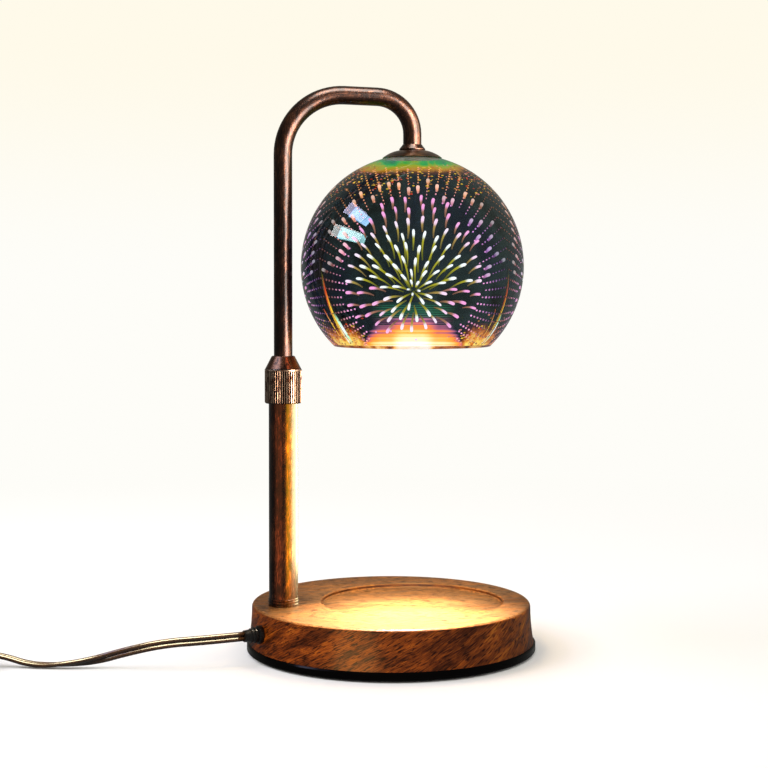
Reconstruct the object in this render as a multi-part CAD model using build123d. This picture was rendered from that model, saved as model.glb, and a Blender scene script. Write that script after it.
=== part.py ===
from build123d import *
import math
import os

# Candle warmer lamp, in millimetres. +Z is up. The origin is the centre of the round base, on the surface that
# the lamp stands on. The post stands towards -X and the shade hangs over +X. The cord leaves towards -X.

# Base
BASE_PLATE_RADIUS = 75.0
BASE_PLATE_BOTTOM = 0.8
WOOD_BOTTOM = 5.0
WOOD_TOP = 24.8
WOOD_BOTTOM_RADIUS = 74.0
WOOD_TOP_RADIUS = 72.3
WOOD_WAIST_RADIUS = 72.7
SEAT_RADIUS = 47.3
SEAT_DEPTH = 2.4
POCKET_TOP = 18.2
FASTENER_CIRCLE = 62.0
FOOT_RADIUS = 6.5

# Post: tube radii are outer, then inner
POST_X = -56.5
LOWER_TUBE = (7.45, 6.35)
LOWER_TUBE_TOP = 130.7
FOOT_COLLAR_TOP = 28.8
NIPPLE_RADIUS = 4.85
NUT_RADIUS = 9.5
NUT_BOTTOM = 128.9
NUT_SHOULDER = 146.6
NUT_TOP = 153.1
KNURL_COUNT = 48
KNURL_DEPTH = 0.45

# Arm
ARM_TUBE = (4.75, 3.75)
ARM_BOTTOM = 94.7
ARM_TOP_AT_POST = 287.8
ARM_TOP_AT_SHADE = 286.2
POST_BEND_RADIUS = 31.0
SHADE_BEND_RADIUS = 19.0
ARM_END = 259.2

# Shade
SHADE_X = 11.2
GLOBE_Z = 199.0
OUTER_GLASS = (57.9, 55.9)
INNER_GLASS = (50.2, 48.5)
RIM_Z = 157.6
TOP_HOLE_RADIUS = 11.0
CAP_RADIUS = 15.5
CAP_RIM_Z = 255.1
BULB_FACE_Z = 171.7
BULB_RADIUS = 25.0
HOLDER_BOTTOM = 220.5
HOLDER_TOP = 237.5
HOLDER_RADIUS = 14.0
PIN_CIRCLE = 5.0
BULB_TWIST = 30.0

# Cord: a flat twin flex, so its diameter is its width
CORD_DIAMETER = 4.8
GLAND_ANGLE = 195.2
GLAND_Z = 14.2
GLAND_SEAT_RADIUS = 73.0
GLAND_PROUD = 9.3
MAINS_CORD_ROUTE = [
    (-79.42, -21.58, 14.2),
    (-98.72, -26.82, 14.2),
    (-119.0, -23.2, 12.8),
    (-137.4, -19.0, 8.6),
    (-152.2, -13.6, 3.4),
    (-167.3, -12.4, 2.4),
    (-183.0, -7.8, 2.4),
    (-198.0, -1.4, 5.6),
    (-212.0, 0.0, 7.0),
]
CORD_LINK_ROUTE = [(-270.0, 0.0, 7.0), (-281.0, 0.0, 5.2), (-292.5, 0.2, 2.6)]
COIL_TURNS = 7.5

# Inline dimmer and plug
DIMMER_X = (-270.0, -212.0)
DIMMER_HALF_WIDTH = 13.5
DIMMER_HEIGHT = 17.0
DIMMER_SPLIT = 7.0
DIMMER_WALL = 1.8
DIAL_RADIUS = 10.5
DIAL_BOTTOM = 17.4
DIAL_TOP = 22.8
COIL_CENTRE = (-306.0, 30.7)
COIL_RADII = (32.2, 18.9)
COIL_HEIGHT = 9.8
PLUG_REAR_X = -281.0
PLUG_Y = 58.8
PLUG_HEIGHT = 13.0
BLADE = (17.5, 1.5, 6.35)
BLADE_SPACING = 12.7

dimmer_mid_x = sum(DIMMER_X) / 2
gland_out = Vector(math.cos(math.radians(GLAND_ANGLE)), math.sin(math.radians(GLAND_ANGLE)), 0)
gland_seat = gland_out * GLAND_SEAT_RADIUS + Vector(0, 0, GLAND_Z)

os.makedirs("parts", exist_ok=True)
UPWARD = (Align.CENTER, Align.CENTER, Align.MIN)


def save(node, shape):
    export_step(shape, f"parts/{node}.step")


def rod(radius, bottom, top, x=0.0, y=0.0):
    return Pos(x, y, bottom) * Cylinder(radius, top - bottom, align=UPWARD)


def ring(outer, inner, bottom, top, x=0.0, y=0.0):
    return rod(outer, bottom, top, x, y) - rod(inner, bottom - 1, top + 1, x, y)


def block(x, y, z):
    """A box between two values on each axis."""
    size = [high - low for low, high in (x, y, z)]
    middle = [(high + low) / 2 for low, high in (x, y, z)]
    return Pos(*middle) * Box(*size)


def turned(outline, x=0.0):
    """A closed outline of (radius, z) points, turned about a vertical axis."""
    line = Polyline(*[(r, 0, z) for r, z in outline], close=True)
    return Pos(x, 0, 0) * revolve(make_face(line), Axis.Z)


def turned_curves(curves, x=0.0):
    """A closed outline of lines and arcs in the XZ plane, turned about a vertical axis."""
    edges = [edge for curve in curves for edge in curve.edges()]
    return Pos(x, 0, 0) * revolve(make_face(Wire(edges)), Axis.Z)


def hexagon(across_flats, bottom, top, bore, x=0.0):
    prism = extrude(RegularPolygon(across_flats / 2, 6, major_radius=False), top - bottom)
    return Pos(x, 0, bottom) * prism - rod(bore, bottom - 1, top + 1, x)


def corner_radii(route, largest=None):
    """For each corner, 0.45 of the shorter run over the tangent of half the turn."""
    radii = []
    for before, corner, after in zip(route, route[1:], route[2:]):
        run_in, run_out = Vector(corner) - Vector(before), Vector(after) - Vector(corner)
        half_turn = math.radians(run_in.get_angle(run_out)) / 2
        radius = 0.45 * min(run_in.length, run_out.length) / math.tan(half_turn)
        radii.append(radius if largest is None else min(radius, largest))
    return radii


def flex(node, route, radius, largest=None):
    """A round solid along straight runs joined by tangent arcs."""
    radii = corner_radii(route, largest)
    path = FilletPolyline(*route, radius=radii) if radii else Line(*route)
    start = Plane(origin=path @ 0, z_dir=path % 0)
    solid = sweep(start * Circle(radius), path=path)
    share = solid.volume / (math.pi * radius**2 * path.length)
    print(node, round(path.length, 1), "long, radii", [round(r) for r in radii], "volume share", round(share, 4))
    save(node, solid)
    return path.length


# ---- Base ----


def wood_base():
    side = [
        Line((0, 0, WOOD_BOTTOM), (WOOD_BOTTOM_RADIUS, 0, WOOD_BOTTOM)),
        ThreePointArc(
            (WOOD_BOTTOM_RADIUS, 0, WOOD_BOTTOM),
            (WOOD_WAIST_RADIUS, 0, (WOOD_BOTTOM + WOOD_TOP) / 2),
            (WOOD_TOP_RADIUS, 0, WOOD_TOP - 1.6),
        ),
        ThreePointArc(
            (WOOD_TOP_RADIUS, 0, WOOD_TOP - 1.6),
            (WOOD_TOP_RADIUS - 0.5, 0, WOOD_TOP - 0.5),
            (WOOD_TOP_RADIUS - 1.6, 0, WOOD_TOP),
        ),
        Line((WOOD_TOP_RADIUS - 1.6, 0, WOOD_TOP), (0, 0, WOOD_TOP)),
        Line((0, 0, WOOD_TOP), (0, 0, WOOD_BOTTOM)),
    ]
    disc = turned_curves(side)
    seat_floor = WOOD_TOP - SEAT_DEPTH
    seat = turned(
        [
            (0, seat_floor),
            (SEAT_RADIUS - 0.7, seat_floor),
            (SEAT_RADIUS, seat_floor + 0.7),
            (SEAT_RADIUS, WOOD_TOP - 0.6),
            (SEAT_RADIUS + 0.8, WOOD_TOP + 0.2),
            (0, WOOD_TOP + 0.2),
        ],
        SHADE_X,
    )
    pocket = Pos(-35, -3, WOOD_BOTTOM) * extrude(RectangleRounded(58, 38, 5), POCKET_TOP - WOOD_BOTTOM)
    nut_pocket = rod(15, WOOD_BOTTOM, POCKET_TOP, POST_X)
    post_hole = rod(NIPPLE_RADIUS, POCKET_TOP - 1, WOOD_TOP + 1, POST_X)
    cord_hole = Plane(origin=gland_seat - gland_out * 14, z_dir=gland_out) * Cylinder(3.2, 20, align=UPWARD)
    disc -= [seat, pocket, nut_pocket, post_hole, cord_hole]
    for angle in (45, 135, 225, 315):
        disc -= Rot(0, 0, angle) * rod(1.5, WOOD_BOTTOM - 1, 15, FASTENER_CIRCLE)
    save("wood_base", disc)


def base_plate():
    top = WOOD_BOTTOM
    plate = turned(
        [
            (0, BASE_PLATE_BOTTOM),
            (BASE_PLATE_RADIUS - 0.5, BASE_PLATE_BOTTOM),
            (BASE_PLATE_RADIUS, BASE_PLATE_BOTTOM + 0.5),
            (BASE_PLATE_RADIUS, top - 0.7),
            (BASE_PLATE_RADIUS - 0.7, top),
            (0, top),
        ]
    )
    countersink = turned([(0, 0.8), (3.6, 0.8), (1.5, 3.0), (1.5, 5.6), (0, 5.6)])
    screw = turned([(0, 0.8), (3.5, 0.8), (1.45, 2.95), (1.45, 14.0), (0, 14.6)])
    cross = [block((-2.0, 2.0), (-0.4, 0.4), (0.5, 1.9)), block((-0.4, 0.4), (-2.0, 2.0), (0.5, 1.9))]
    screws = []
    for angle in (45, 135, 225, 315):
        place = Rot(0, 0, angle) * Pos(FASTENER_CIRCLE, 0, 0)
        plate -= place * countersink
        screws.append(place * (screw - cross))
    for number in range(4):
        place = Rot(0, 0, 90 * number) * Pos(FASTENER_CIRCLE, 0, 0)
        plate -= place * rod(FOOT_RADIUS, 0, 1.6)
        foot = turned([(0, 0), (FOOT_RADIUS - 0.5, 0), (FOOT_RADIUS, 0.5), (FOOT_RADIUS, 1.6), (0, 1.6)])
        save(f"rubber_foot_{number + 1}", place * foot)
    save("base_plate", plate)
    save("plate_screws", Compound(screws))


def post_fixing():
    """The hollow stud that pulls the post down onto the wood, and its washer and nut in the pocket."""
    save("post_nipple", ring(NIPPLE_RADIUS, 3.6, 11.0, FOOT_COLLAR_TOP + 5, POST_X))
    save("post_washer", ring(12.0, NIPPLE_RADIUS, POCKET_TOP - 1.4, POCKET_TOP, POST_X))
    save("post_nut", hexagon(15.0, POCKET_TOP - 5.9, POCKET_TOP - 1.4, NIPPLE_RADIUS, POST_X))


# ---- Post ----


def lower_post():
    outer, inner = LOWER_TUBE
    rib = outer + 0.35
    collar = turned(
        [
            (NIPPLE_RADIUS, WOOD_TOP),
            (rib, WOOD_TOP),
            (rib, WOOD_TOP + 1.1),
            (rib - 0.3, WOOD_TOP + 1.4),
            (rib, WOOD_TOP + 1.7),
            (rib, WOOD_TOP + 2.6),
            (rib - 0.3, WOOD_TOP + 2.9),
            (rib, WOOD_TOP + 3.2),
            (rib, FOOT_COLLAR_TOP - 0.2),
            (rib - 0.2, FOOT_COLLAR_TOP),
            (inner, FOOT_COLLAR_TOP),
            (inner, FOOT_COLLAR_TOP + 6),
            (NIPPLE_RADIUS, FOOT_COLLAR_TOP + 6),
        ],
        POST_X,
    )
    save("foot_collar", collar)
    save("lower_tube", ring(outer, inner, FOOT_COLLAR_TOP, LOWER_TUBE_TOP, POST_X))


def clamp():
    """Ferrule in the lower tube's mouth, split collet on it, and the knurled nut that closes the collet."""
    outer, inner = LOWER_TUBE
    slide_bore = ARM_TUBE[0] + 0.08
    thread = 6.3
    ferrule_top = LOWER_TUBE_TOP + 10.5
    collet_top = ferrule_top + 7.5
    ferrule = turned(
        [
            (slide_bore, LOWER_TUBE_TOP - 8),
            (inner, LOWER_TUBE_TOP - 8),
            (inner, LOWER_TUBE_TOP),
            (outer, LOWER_TUBE_TOP),
            (outer, LOWER_TUBE_TOP + 1.2),
            (thread, LOWER_TUBE_TOP + 1.2),
            (thread, ferrule_top),
            (slide_bore, ferrule_top),
        ],
        POST_X,
    )
    save("tube_ferrule", ferrule)

    collet = turned(
        [
            (slide_bore, ferrule_top),
            (6.2, ferrule_top),
            (6.2, ferrule_top + 2.1),
            (5.3, collet_top),
            (slide_bore, collet_top),
        ],
        POST_X,
    )
    slit = block((0, 8), (-0.4, 0.4), (collet_top - 5.4, collet_top + 1))
    slits = [Pos(POST_X, 0, 0) * Rot(0, 0, 90 * n) * slit for n in range(4)]
    save("split_collet", collet - slits)

    nut = turned(
        [
            (outer + 0.1, NUT_BOTTOM),
            (NUT_RADIUS - 0.5, NUT_BOTTOM),
            (NUT_RADIUS, NUT_BOTTOM + 0.5),
            (NUT_RADIUS, NUT_SHOULDER - 0.3),
            (NUT_RADIUS - 0.3, NUT_SHOULDER),
            (6.0, NUT_TOP - 0.3),
            (5.7, NUT_TOP),
            (4.95, NUT_TOP),
            (4.95, collet_top + 1),
            (5.35, collet_top + 1),
            (6.38, ferrule_top + 2.3),
            (6.38, LOWER_TUBE_TOP + 1.4),
            (outer + 0.1, LOWER_TUBE_TOP + 1.4),
        ],
        POST_X,
    )
    groove = Pos(NUT_RADIUS, 0, NUT_BOTTOM - 1) * Rot(0, 0, 45) * Box(
        KNURL_DEPTH * math.sqrt(2), KNURL_DEPTH * math.sqrt(2), NUT_SHOULDER - NUT_BOTTOM, align=UPWARD
    )
    grooves = [Pos(POST_X, 0, 0) * Rot(0, 0, 360 / KNURL_COUNT * n) * groove for n in range(KNURL_COUNT)]
    save("clamp_nut", nut - grooves)


def carriage():
    """The bush that guides the arm's lower end in the lower tube, and the ring that keeps the two together."""
    bush = turned(
        [
            (3.9, ARM_BOTTOM - 2),
            (5.9, ARM_BOTTOM - 2),
            (LOWER_TUBE[1] - 0.1, ARM_BOTTOM - 1.6),
            (LOWER_TUBE[1] - 0.1, ARM_BOTTOM + 10),
            (ARM_TUBE[0] + 0.05, ARM_BOTTOM + 10),
            (ARM_TUBE[0] + 0.05, ARM_BOTTOM - 0.1),
            (3.9, ARM_BOTTOM - 0.1),
        ],
        POST_X,
    )
    save("guide_bush", bush)
    snap_ring = ring(5.8, ARM_TUBE[0], ARM_BOTTOM + 10.1, ARM_BOTTOM + 11.1, POST_X)
    gap = block((POST_X + 3, POST_X + 8), (-2, 2), (ARM_BOTTOM + 9, ARM_BOTTOM + 12))
    save("snap_ring", snap_ring - gap)


# ---- Arm ----


def arm_path(bottom, end):
    corners = [
        (POST_X, 0, bottom),
        (POST_X, 0, ARM_TOP_AT_POST),
        (SHADE_X, 0, ARM_TOP_AT_SHADE),
        (SHADE_X, 0, end),
    ]
    return FilletPolyline(*corners, radius=[POST_BEND_RADIUS, SHADE_BEND_RADIUS])


def arm():
    outer, inner = ARM_TUBE
    path = arm_path(ARM_BOTTOM, ARM_END)
    start = Plane(origin=path @ 0, z_dir=path % 0)
    solid = sweep(start * Circle(outer), path=path)
    bore = sweep(start * Circle(inner), path=path)
    save("arm_tube", solid - bore)
    neck = turned(
        [
            (outer, ARM_END),
            (6.4, ARM_END),
            (6.75, ARM_END + 0.35),
            (6.75, ARM_END + 0.8),
            (5.3, ARM_END + 2.6),
            (5.1, ARM_END + 3.0),
            (outer, ARM_END + 3.0),
        ],
        SHADE_X,
    )
    save("neck_collar", neck)

    lead = arm_path(ARM_BOTTOM - 2, HOLDER_TOP - 3)
    lead_radius = 1.8
    start = Plane(origin=lead @ 0, z_dir=lead % 0)
    save("arm_lead", sweep(start * Circle(lead_radius), path=lead))


# ---- Shade ----


def globe(radii, bottom):
    """One wall of the globe, open at the top hole and below bottom."""
    outer, inner = radii
    wall = Pos(SHADE_X, 0, GLOBE_Z) * (Sphere(outer) - Sphere(inner))
    wall -= rod(TOP_HOLE_RADIUS, GLOBE_Z, GLOBE_Z + outer + 1, SHADE_X)
    return wall - rod(outer + 1, GLOBE_Z - outer - 1, bottom, SHADE_X)


def sphere_z(radius, r):
    """How high a sphere about the globe's centre is at a distance r from the axis."""
    return GLOBE_Z + math.sqrt(radius**2 - r**2)


def shade():
    inner_bottom = RIM_Z + 2.1
    outer_wall, inner_wall = globe(OUTER_GLASS, RIM_Z), globe(INNER_GLASS, inner_bottom)
    save("shade_outer_glass", outer_wall)
    save("shade_inner_glass", inner_wall)
    mouth = math.sqrt(INNER_GLASS[1] ** 2 - (GLOBE_Z - inner_bottom) ** 2)
    rim = ring(OUTER_GLASS[0], mouth, RIM_Z, inner_bottom, SHADE_X)
    inside = Pos(SHADE_X, 0, GLOBE_Z) * Sphere(OUTER_GLASS[1])
    save("shade_rim", rim & inside)

    gap_filler = ring(13.4, TOP_HOLE_RADIUS, GLOBE_Z + 38.7, GLOBE_Z + 60.7, SHADE_X) & inside
    save("glass_spacer", gap_filler - Pos(SHADE_X, 0, GLOBE_Z) * Sphere(INNER_GLASS[0]))


def shade_fixing():
    """From the top: cap and its gasket above the glass; gasket, washer and nut below it, on a hollow stud."""
    bore = ARM_TUBE[1]
    thick = 0.9
    crown = CAP_RIM_Z + 2.65
    dome = [
        ThreePointArc((6.9, 0, ARM_END), (11.6, 0, crown), (CAP_RADIUS, 0, CAP_RIM_Z + 0.2)),
        Line((CAP_RADIUS, 0, CAP_RIM_Z + 0.2), (CAP_RADIUS - 0.2, 0, CAP_RIM_Z)),
        Line((CAP_RADIUS - 0.2, 0, CAP_RIM_Z), (CAP_RADIUS - thick, 0, CAP_RIM_Z)),
        ThreePointArc(
            (CAP_RADIUS - thick, 0, CAP_RIM_Z), (11.2, 0, crown - thick), (6.6, 0, ARM_END - thick)
        ),
        Polyline((6.6, 0, ARM_END - thick), (bore, 0, ARM_END - thick), (bore, 0, ARM_END), (6.9, 0, ARM_END)),
    ]
    cap = turned_curves(dome, SHADE_X)
    save("shade_cap", cap)
    under_cap = ring(13.8, 11.4, CAP_RIM_Z - 7.4, CAP_RIM_Z + 0.8, SHADE_X)
    under_cap -= Pos(SHADE_X, 0, GLOBE_Z) * Sphere(OUTER_GLASS[0])
    save("cap_gasket", under_cap - cap)

    inner_top = sphere_z(INNER_GLASS[1], 13.6)
    washer_top = inner_top - 0.6
    inside = Pos(SHADE_X, 0, GLOBE_Z) * Sphere(INNER_GLASS[1])
    seat_gasket = ring(13.6, 11.2, washer_top, GLOBE_Z + INNER_GLASS[1], SHADE_X) & inside
    save("seat_gasket", seat_gasket)
    save("seat_washer", ring(14.2, bore, washer_top - 1.2, washer_top, SHADE_X))
    save("shade_nut", hexagon(13.0, washer_top - 5.2, washer_top - 1.2, bore, SHADE_X))
    save("shade_nipple", ring(bore, 2.3, HOLDER_TOP, ARM_END + 5.5, SHADE_X))
    bridge = ring(11.0, bore, HOLDER_TOP, HOLDER_TOP + 1.2, SHADE_X)
    screws = []
    for side in (-1, 1):
        bridge -= rod(1.6, HOLDER_TOP - 1, HOLDER_TOP + 2, SHADE_X, 8 * side)
        shank, head = rod(1.5, HOLDER_TOP - 6, HOLDER_TOP + 1.2), rod(2.7, HOLDER_TOP + 1.2, HOLDER_TOP + 2.2)
        slot = block((-3, 3), (-0.4, 0.4), (HOLDER_TOP + 1.8, HOLDER_TOP + 3))
        screws.append(Pos(SHADE_X, 8 * side, 0) * (shank + head - slot))
    save("holder_bridge", bridge)
    save("bridge_screws", Compound(screws))


def lampholder():
    """Ceramic holder. Each pin of the bulb turns in its own curved slot, and locks at the end of it."""
    holder = turned(
        [
            (0, HOLDER_BOTTOM),
            (HOLDER_RADIUS - 0.8, HOLDER_BOTTOM),
            (HOLDER_RADIUS, HOLDER_BOTTOM + 0.8),
            (HOLDER_RADIUS, HOLDER_TOP - 4),
            (12.2, HOLDER_TOP - 3),
            (12.2, HOLDER_TOP - 0.8),
            (11.4, HOLDER_TOP),
            (0, HOLDER_TOP),
        ],
        SHADE_X,
    )
    slot_depth, half_head = 9.6, 34.0
    for side in (0, 180):
        start = side - BULB_TWIST - half_head
        sector = make_face(
            Wire(
                [
                    CenterArc((0, 0), PIN_CIRCLE + 2.75, start, BULB_TWIST + 2 * half_head),
                    CenterArc((0, 0), PIN_CIRCLE - 2.75, start, BULB_TWIST + 2 * half_head),
                    *[
                        Line(
                            ((PIN_CIRCLE - 2.75) * math.cos(a), (PIN_CIRCLE - 2.75) * math.sin(a)),
                            ((PIN_CIRCLE + 2.75) * math.cos(a), (PIN_CIRCLE + 2.75) * math.sin(a)),
                        )
                        for a in (math.radians(start), math.radians(side + half_head))
                    ],
                ]
            )
        )
        holder -= Pos(SHADE_X, 0, HOLDER_BOTTOM) * extrude(sector, slot_depth)
        holder -= rod(1.5, HOLDER_TOP - 6, HOLDER_TOP + 1, SHADE_X, 8 if side else -8)
    holder -= rod(1.8, HOLDER_TOP - 3, HOLDER_TOP + 1, SHADE_X)
    save("lampholder", holder)


def bulb():
    """GU10 reflector bulb: ceramic base with two pins, glass reflector, front lens and halogen capsule."""
    top = HOLDER_BOTTOM - 0.3
    face_z, wall = BULB_FACE_Z, 1.2
    neck_z = face_z + 33
    base = turned(
        [
            (3.4, neck_z - 4),
            (10.4, neck_z),
            (10.4, neck_z + 2),
            (9.4, neck_z + 3),
            (9.4, top - 1.0),
            (8.6, top),
            (0, top),
            (0, top - 3),
            (3.4, top - 4),
        ],
        SHADE_X,
    )
    save("bulb_base", base)
    pins = []
    for side in (-1, 1):
        shank, head = rod(1.6, top, top + 5.6), rod(2.45, top + 5.6, top + 8.6)
        pins.append(Pos(SHADE_X + PIN_CIRCLE * side, 0, 0) * (shank + head))
    save("bulb_pins", Compound(pins))

    bowl = [
        ThreePointArc((10.4, 0, neck_z), (19.0, 0, face_z + 21.5), (BULB_RADIUS - 1, 0, face_z + 3.4)),
        Polyline(
            (BULB_RADIUS - 1, 0, face_z + 3.4),
            (BULB_RADIUS, 0, face_z + 3.0),
            (BULB_RADIUS, 0, face_z),
            (BULB_RADIUS - 1.4, 0, face_z),
            (BULB_RADIUS - 1.4, 0, face_z + 3.0),
        ),
        ThreePointArc(
            (BULB_RADIUS - 1.4, 0, face_z + 3.0), (19.0 - wall, 0, face_z + 21), (10.4 - wall, 0, neck_z - 1.0)
        ),
        Polyline((10.4 - wall, 0, neck_z - 1.0), (3.4, 0, neck_z - 4), (10.4, 0, neck_z)),
    ]
    save("bulb_reflector", turned_curves(bowl, SHADE_X))
    save("bulb_lens", rod(BULB_RADIUS - 1.4, face_z + 0.4, face_z + 2.2, SHADE_X))
    capsule_tip = face_z + 18
    capsule = rod(3.2, capsule_tip, neck_z + 2, SHADE_X) + Pos(SHADE_X, 0, capsule_tip) * Sphere(3.2)
    save("bulb_capsule", capsule)


# ---- Leads in the base and the post ----


def inner_leads():
    slack_bottom = FOOT_COLLAR_TOP + 6.6
    save("slack_lead", rod(4.6, slack_bottom, ARM_BOTTOM - 2, POST_X))

    block_x, block_y, block_top = (-33.0, -17.0), (-8.0, 8.0), 14.6
    lead_z = 9.6
    terminal = block(block_x, block_y, (WOOD_BOTTOM, block_top))
    screws = []
    for x in (-29.0, -21.0):
        for y in (-4.5, 4.5):
            terminal -= rod(1.6, 11.6, block_top + 1, x, y)
            screws.append(rod(1.6, 11.6, 14.0, x, y) - Pos(x, y, 0) * block((-2, 2), (-0.3, 0.3), (13.2, 14.5)))
    save("terminal_block", terminal)
    save("terminal_screws", Compound(screws))

    inner_end = gland_seat - gland_out * 16
    start = gland_seat + gland_out * GLAND_PROUD
    tail = [tuple(start), tuple(inner_end), (-40.0, -15.0, 11.5), (-25.0, -17.0, lead_z), (-25.0, block_y[0], lead_z)]
    flex("mains_tail", tail, CORD_DIAMETER / 2 - 0.05, largest=10)
    riser = [
        (-25.0, block_y[1], lead_z),
        (-25.0, 13.4, lead_z),
        (-42.0, 8.5, 7.4),
        (POST_X, 0.0, 6.8),
        (POST_X, 0.0, slack_bottom),
    ]
    flex("riser_lead", riser, 1.5, largest=6)


# ---- Cord, inline dimmer and plug ----


def cord():
    bore = CORD_DIAMETER / 2
    gland = revolve(
        make_face(
            Polyline(
                (bore, 0, -11.7),
                (2.9, 0, -11.7),
                (3.2, 0, -10.9),
                (3.2, 0, -9.4),
                (2.9, 0, -9.0),
                (2.9, 0, -8.2),
                (3.2, 0, -7.8),
                (3.2, 0, 0.1),
                (4.5, 0, 0.1),
                (4.6, 0, 0.5),
                (4.6, 0, 1.9),
                (4.2, 0, 2.3),
                (3.5, 0, 2.3),
                (3.5, 0, 3.0),
                (4.0, 0, 3.2),
                (4.0, 0, 4.0),
                (3.4, 0, 4.3),
                (3.3, 0, 5.0),
                (3.6, 0, 5.2),
                (3.6, 0, 5.9),
                (3.2, 0, 6.2),
                (2.9, 0, GLAND_PROUD),
                (bore, 0, GLAND_PROUD),
                close=True,
            )
        ),
        Axis.Z,
    )
    save("cord_gland", Plane(origin=gland_seat, z_dir=gland_out) * gland)

    seen = flex("mains_cord", MAINS_CORD_ROUTE, CORD_DIAMETER / 2)
    link = flex("cord_link", CORD_LINK_ROUTE, CORD_DIAMETER / 2)
    end_route = [(COIL_CENTRE[0] + 13.5, PLUG_Y, PLUG_HEIGHT / 2), (PLUG_REAR_X, PLUG_Y, PLUG_HEIGHT / 2)]
    end = flex("cord_end", end_route, CORD_DIAMETER / 2)

    outer, inner = COIL_RADII
    coil = ring(outer, inner, 0, COIL_HEIGHT, *COIL_CENTRE)
    coil = fillet(coil.edges().filter_by(GeomType.CIRCLE), 1.6)
    save("cord_coil", coil)
    coiled = COIL_TURNS * math.pi * (outer + inner)
    through_dimmer = DIMMER_X[1] - DIMMER_X[0]
    print("cord in all:", round(seen + through_dimmer + link + coiled + end), "mm")


def dimmer():
    """Two case halves that meet at the cord's axis, a dial on top, and the control inside."""
    length = DIMMER_X[1] - DIMMER_X[0]
    outline = RectangleRounded(length, 2 * DIMMER_HALF_WIDTH, 8)
    case = extrude(outline, DIMMER_HEIGHT)
    case = fillet(case.faces().sort_by(Axis.Z)[-1].edges(), 3.0)
    case = fillet(case.faces().sort_by(Axis.Z)[0].edges(), 1.5)
    wall = DIMMER_WALL
    hollow = Pos(0, 0, wall) * extrude(
        RectangleRounded(length - 2 * wall, 2 * (DIMMER_HALF_WIDTH - wall), 6.2), DIMMER_HEIGHT - 2 * wall
    )
    bosses = [(22.0, 7.0), (-22.0, -7.0)]
    case -= hollow
    for x, y in bosses:
        case += rod(2.8, wall - 0.1, DIMMER_HEIGHT - wall + 0.1, x, y)
    for x, y in bosses:
        case -= rod(1.25, -1, 13, x, y) + rod(2.4, -1, 1.6, x, y)
    case -= rod(3.1, DIMMER_HEIGHT - 4, DIMMER_HEIGHT + 1)
    cord_port = Pos(0, 0, DIMMER_SPLIT) * Rot(0, 90, 0) * Cylinder(CORD_DIAMETER / 2, length + 2)
    case -= cord_port
    case -= ring(DIMMER_HALF_WIDTH - 1.4, DIMMER_HALF_WIDTH - 1.8, DIMMER_HEIGHT - 0.4, DIMMER_HEIGHT + 1)
    place = Pos(dimmer_mid_x, 0, 0)
    split = block((-length, length), (-30, 30), (-1, DIMMER_SPLIT))
    save("dimmer_case_bottom", place * (case & split))
    save("dimmer_case_top", place * (case - split))

    screws = []
    for x, y in bosses:
        shank, head = rod(1.2, 0.3, 12.5, x, y), rod(2.3, 0.3, 1.6, x, y)
        screws.append(place * (shank + head - Pos(x, y, 0) * block((-3, 3), (-0.3, 0.3), (0, 0.9))))
    save("dimmer_screws", Compound(screws))

    dial = turned(
        [
            (0, 13.0),
            (3.0, 13.0),
            (3.0, DIAL_BOTTOM),
            (DIAL_RADIUS - 0.3, DIAL_BOTTOM),
            (DIAL_RADIUS, DIAL_BOTTOM + 0.4),
            (DIAL_RADIUS - 0.5, DIAL_TOP - 0.7),
            (DIAL_RADIUS - 1.2, DIAL_TOP),
            (0, DIAL_TOP),
        ]
    )
    grip_count = 30
    for number in range(grip_count):
        dial -= Rot(0, 0, 360 / grip_count * number) * rod(0.5, DIAL_BOTTOM + 0.8, DIAL_TOP + 1, DIAL_RADIUS + 0.1)
    dial -= block((3.5, 8.6), (-0.5, 0.5), (DIAL_TOP - 0.6, DIAL_TOP + 1))
    dial -= rod(1.95, 12, 16.6)
    save("dimmer_dial", place * dial)
    save("dial_shaft", place * rod(1.95, 9.2, 16.6))

    board_z = (wall + 1.6, wall + 3.0)
    board = block((-18, 18), (-9, 9), board_z)
    props = [rod(1.2, wall, board_z[0], x, y) for x in (-15, 15) for y in (-7, 7)]
    save("dimmer_board", place * (board + props))
    save("dimmer_control", place * (block((-7, 7), (-7, 7), (board_z[1], 11.0)) - rod(2.0, 9.0, 12)))


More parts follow.
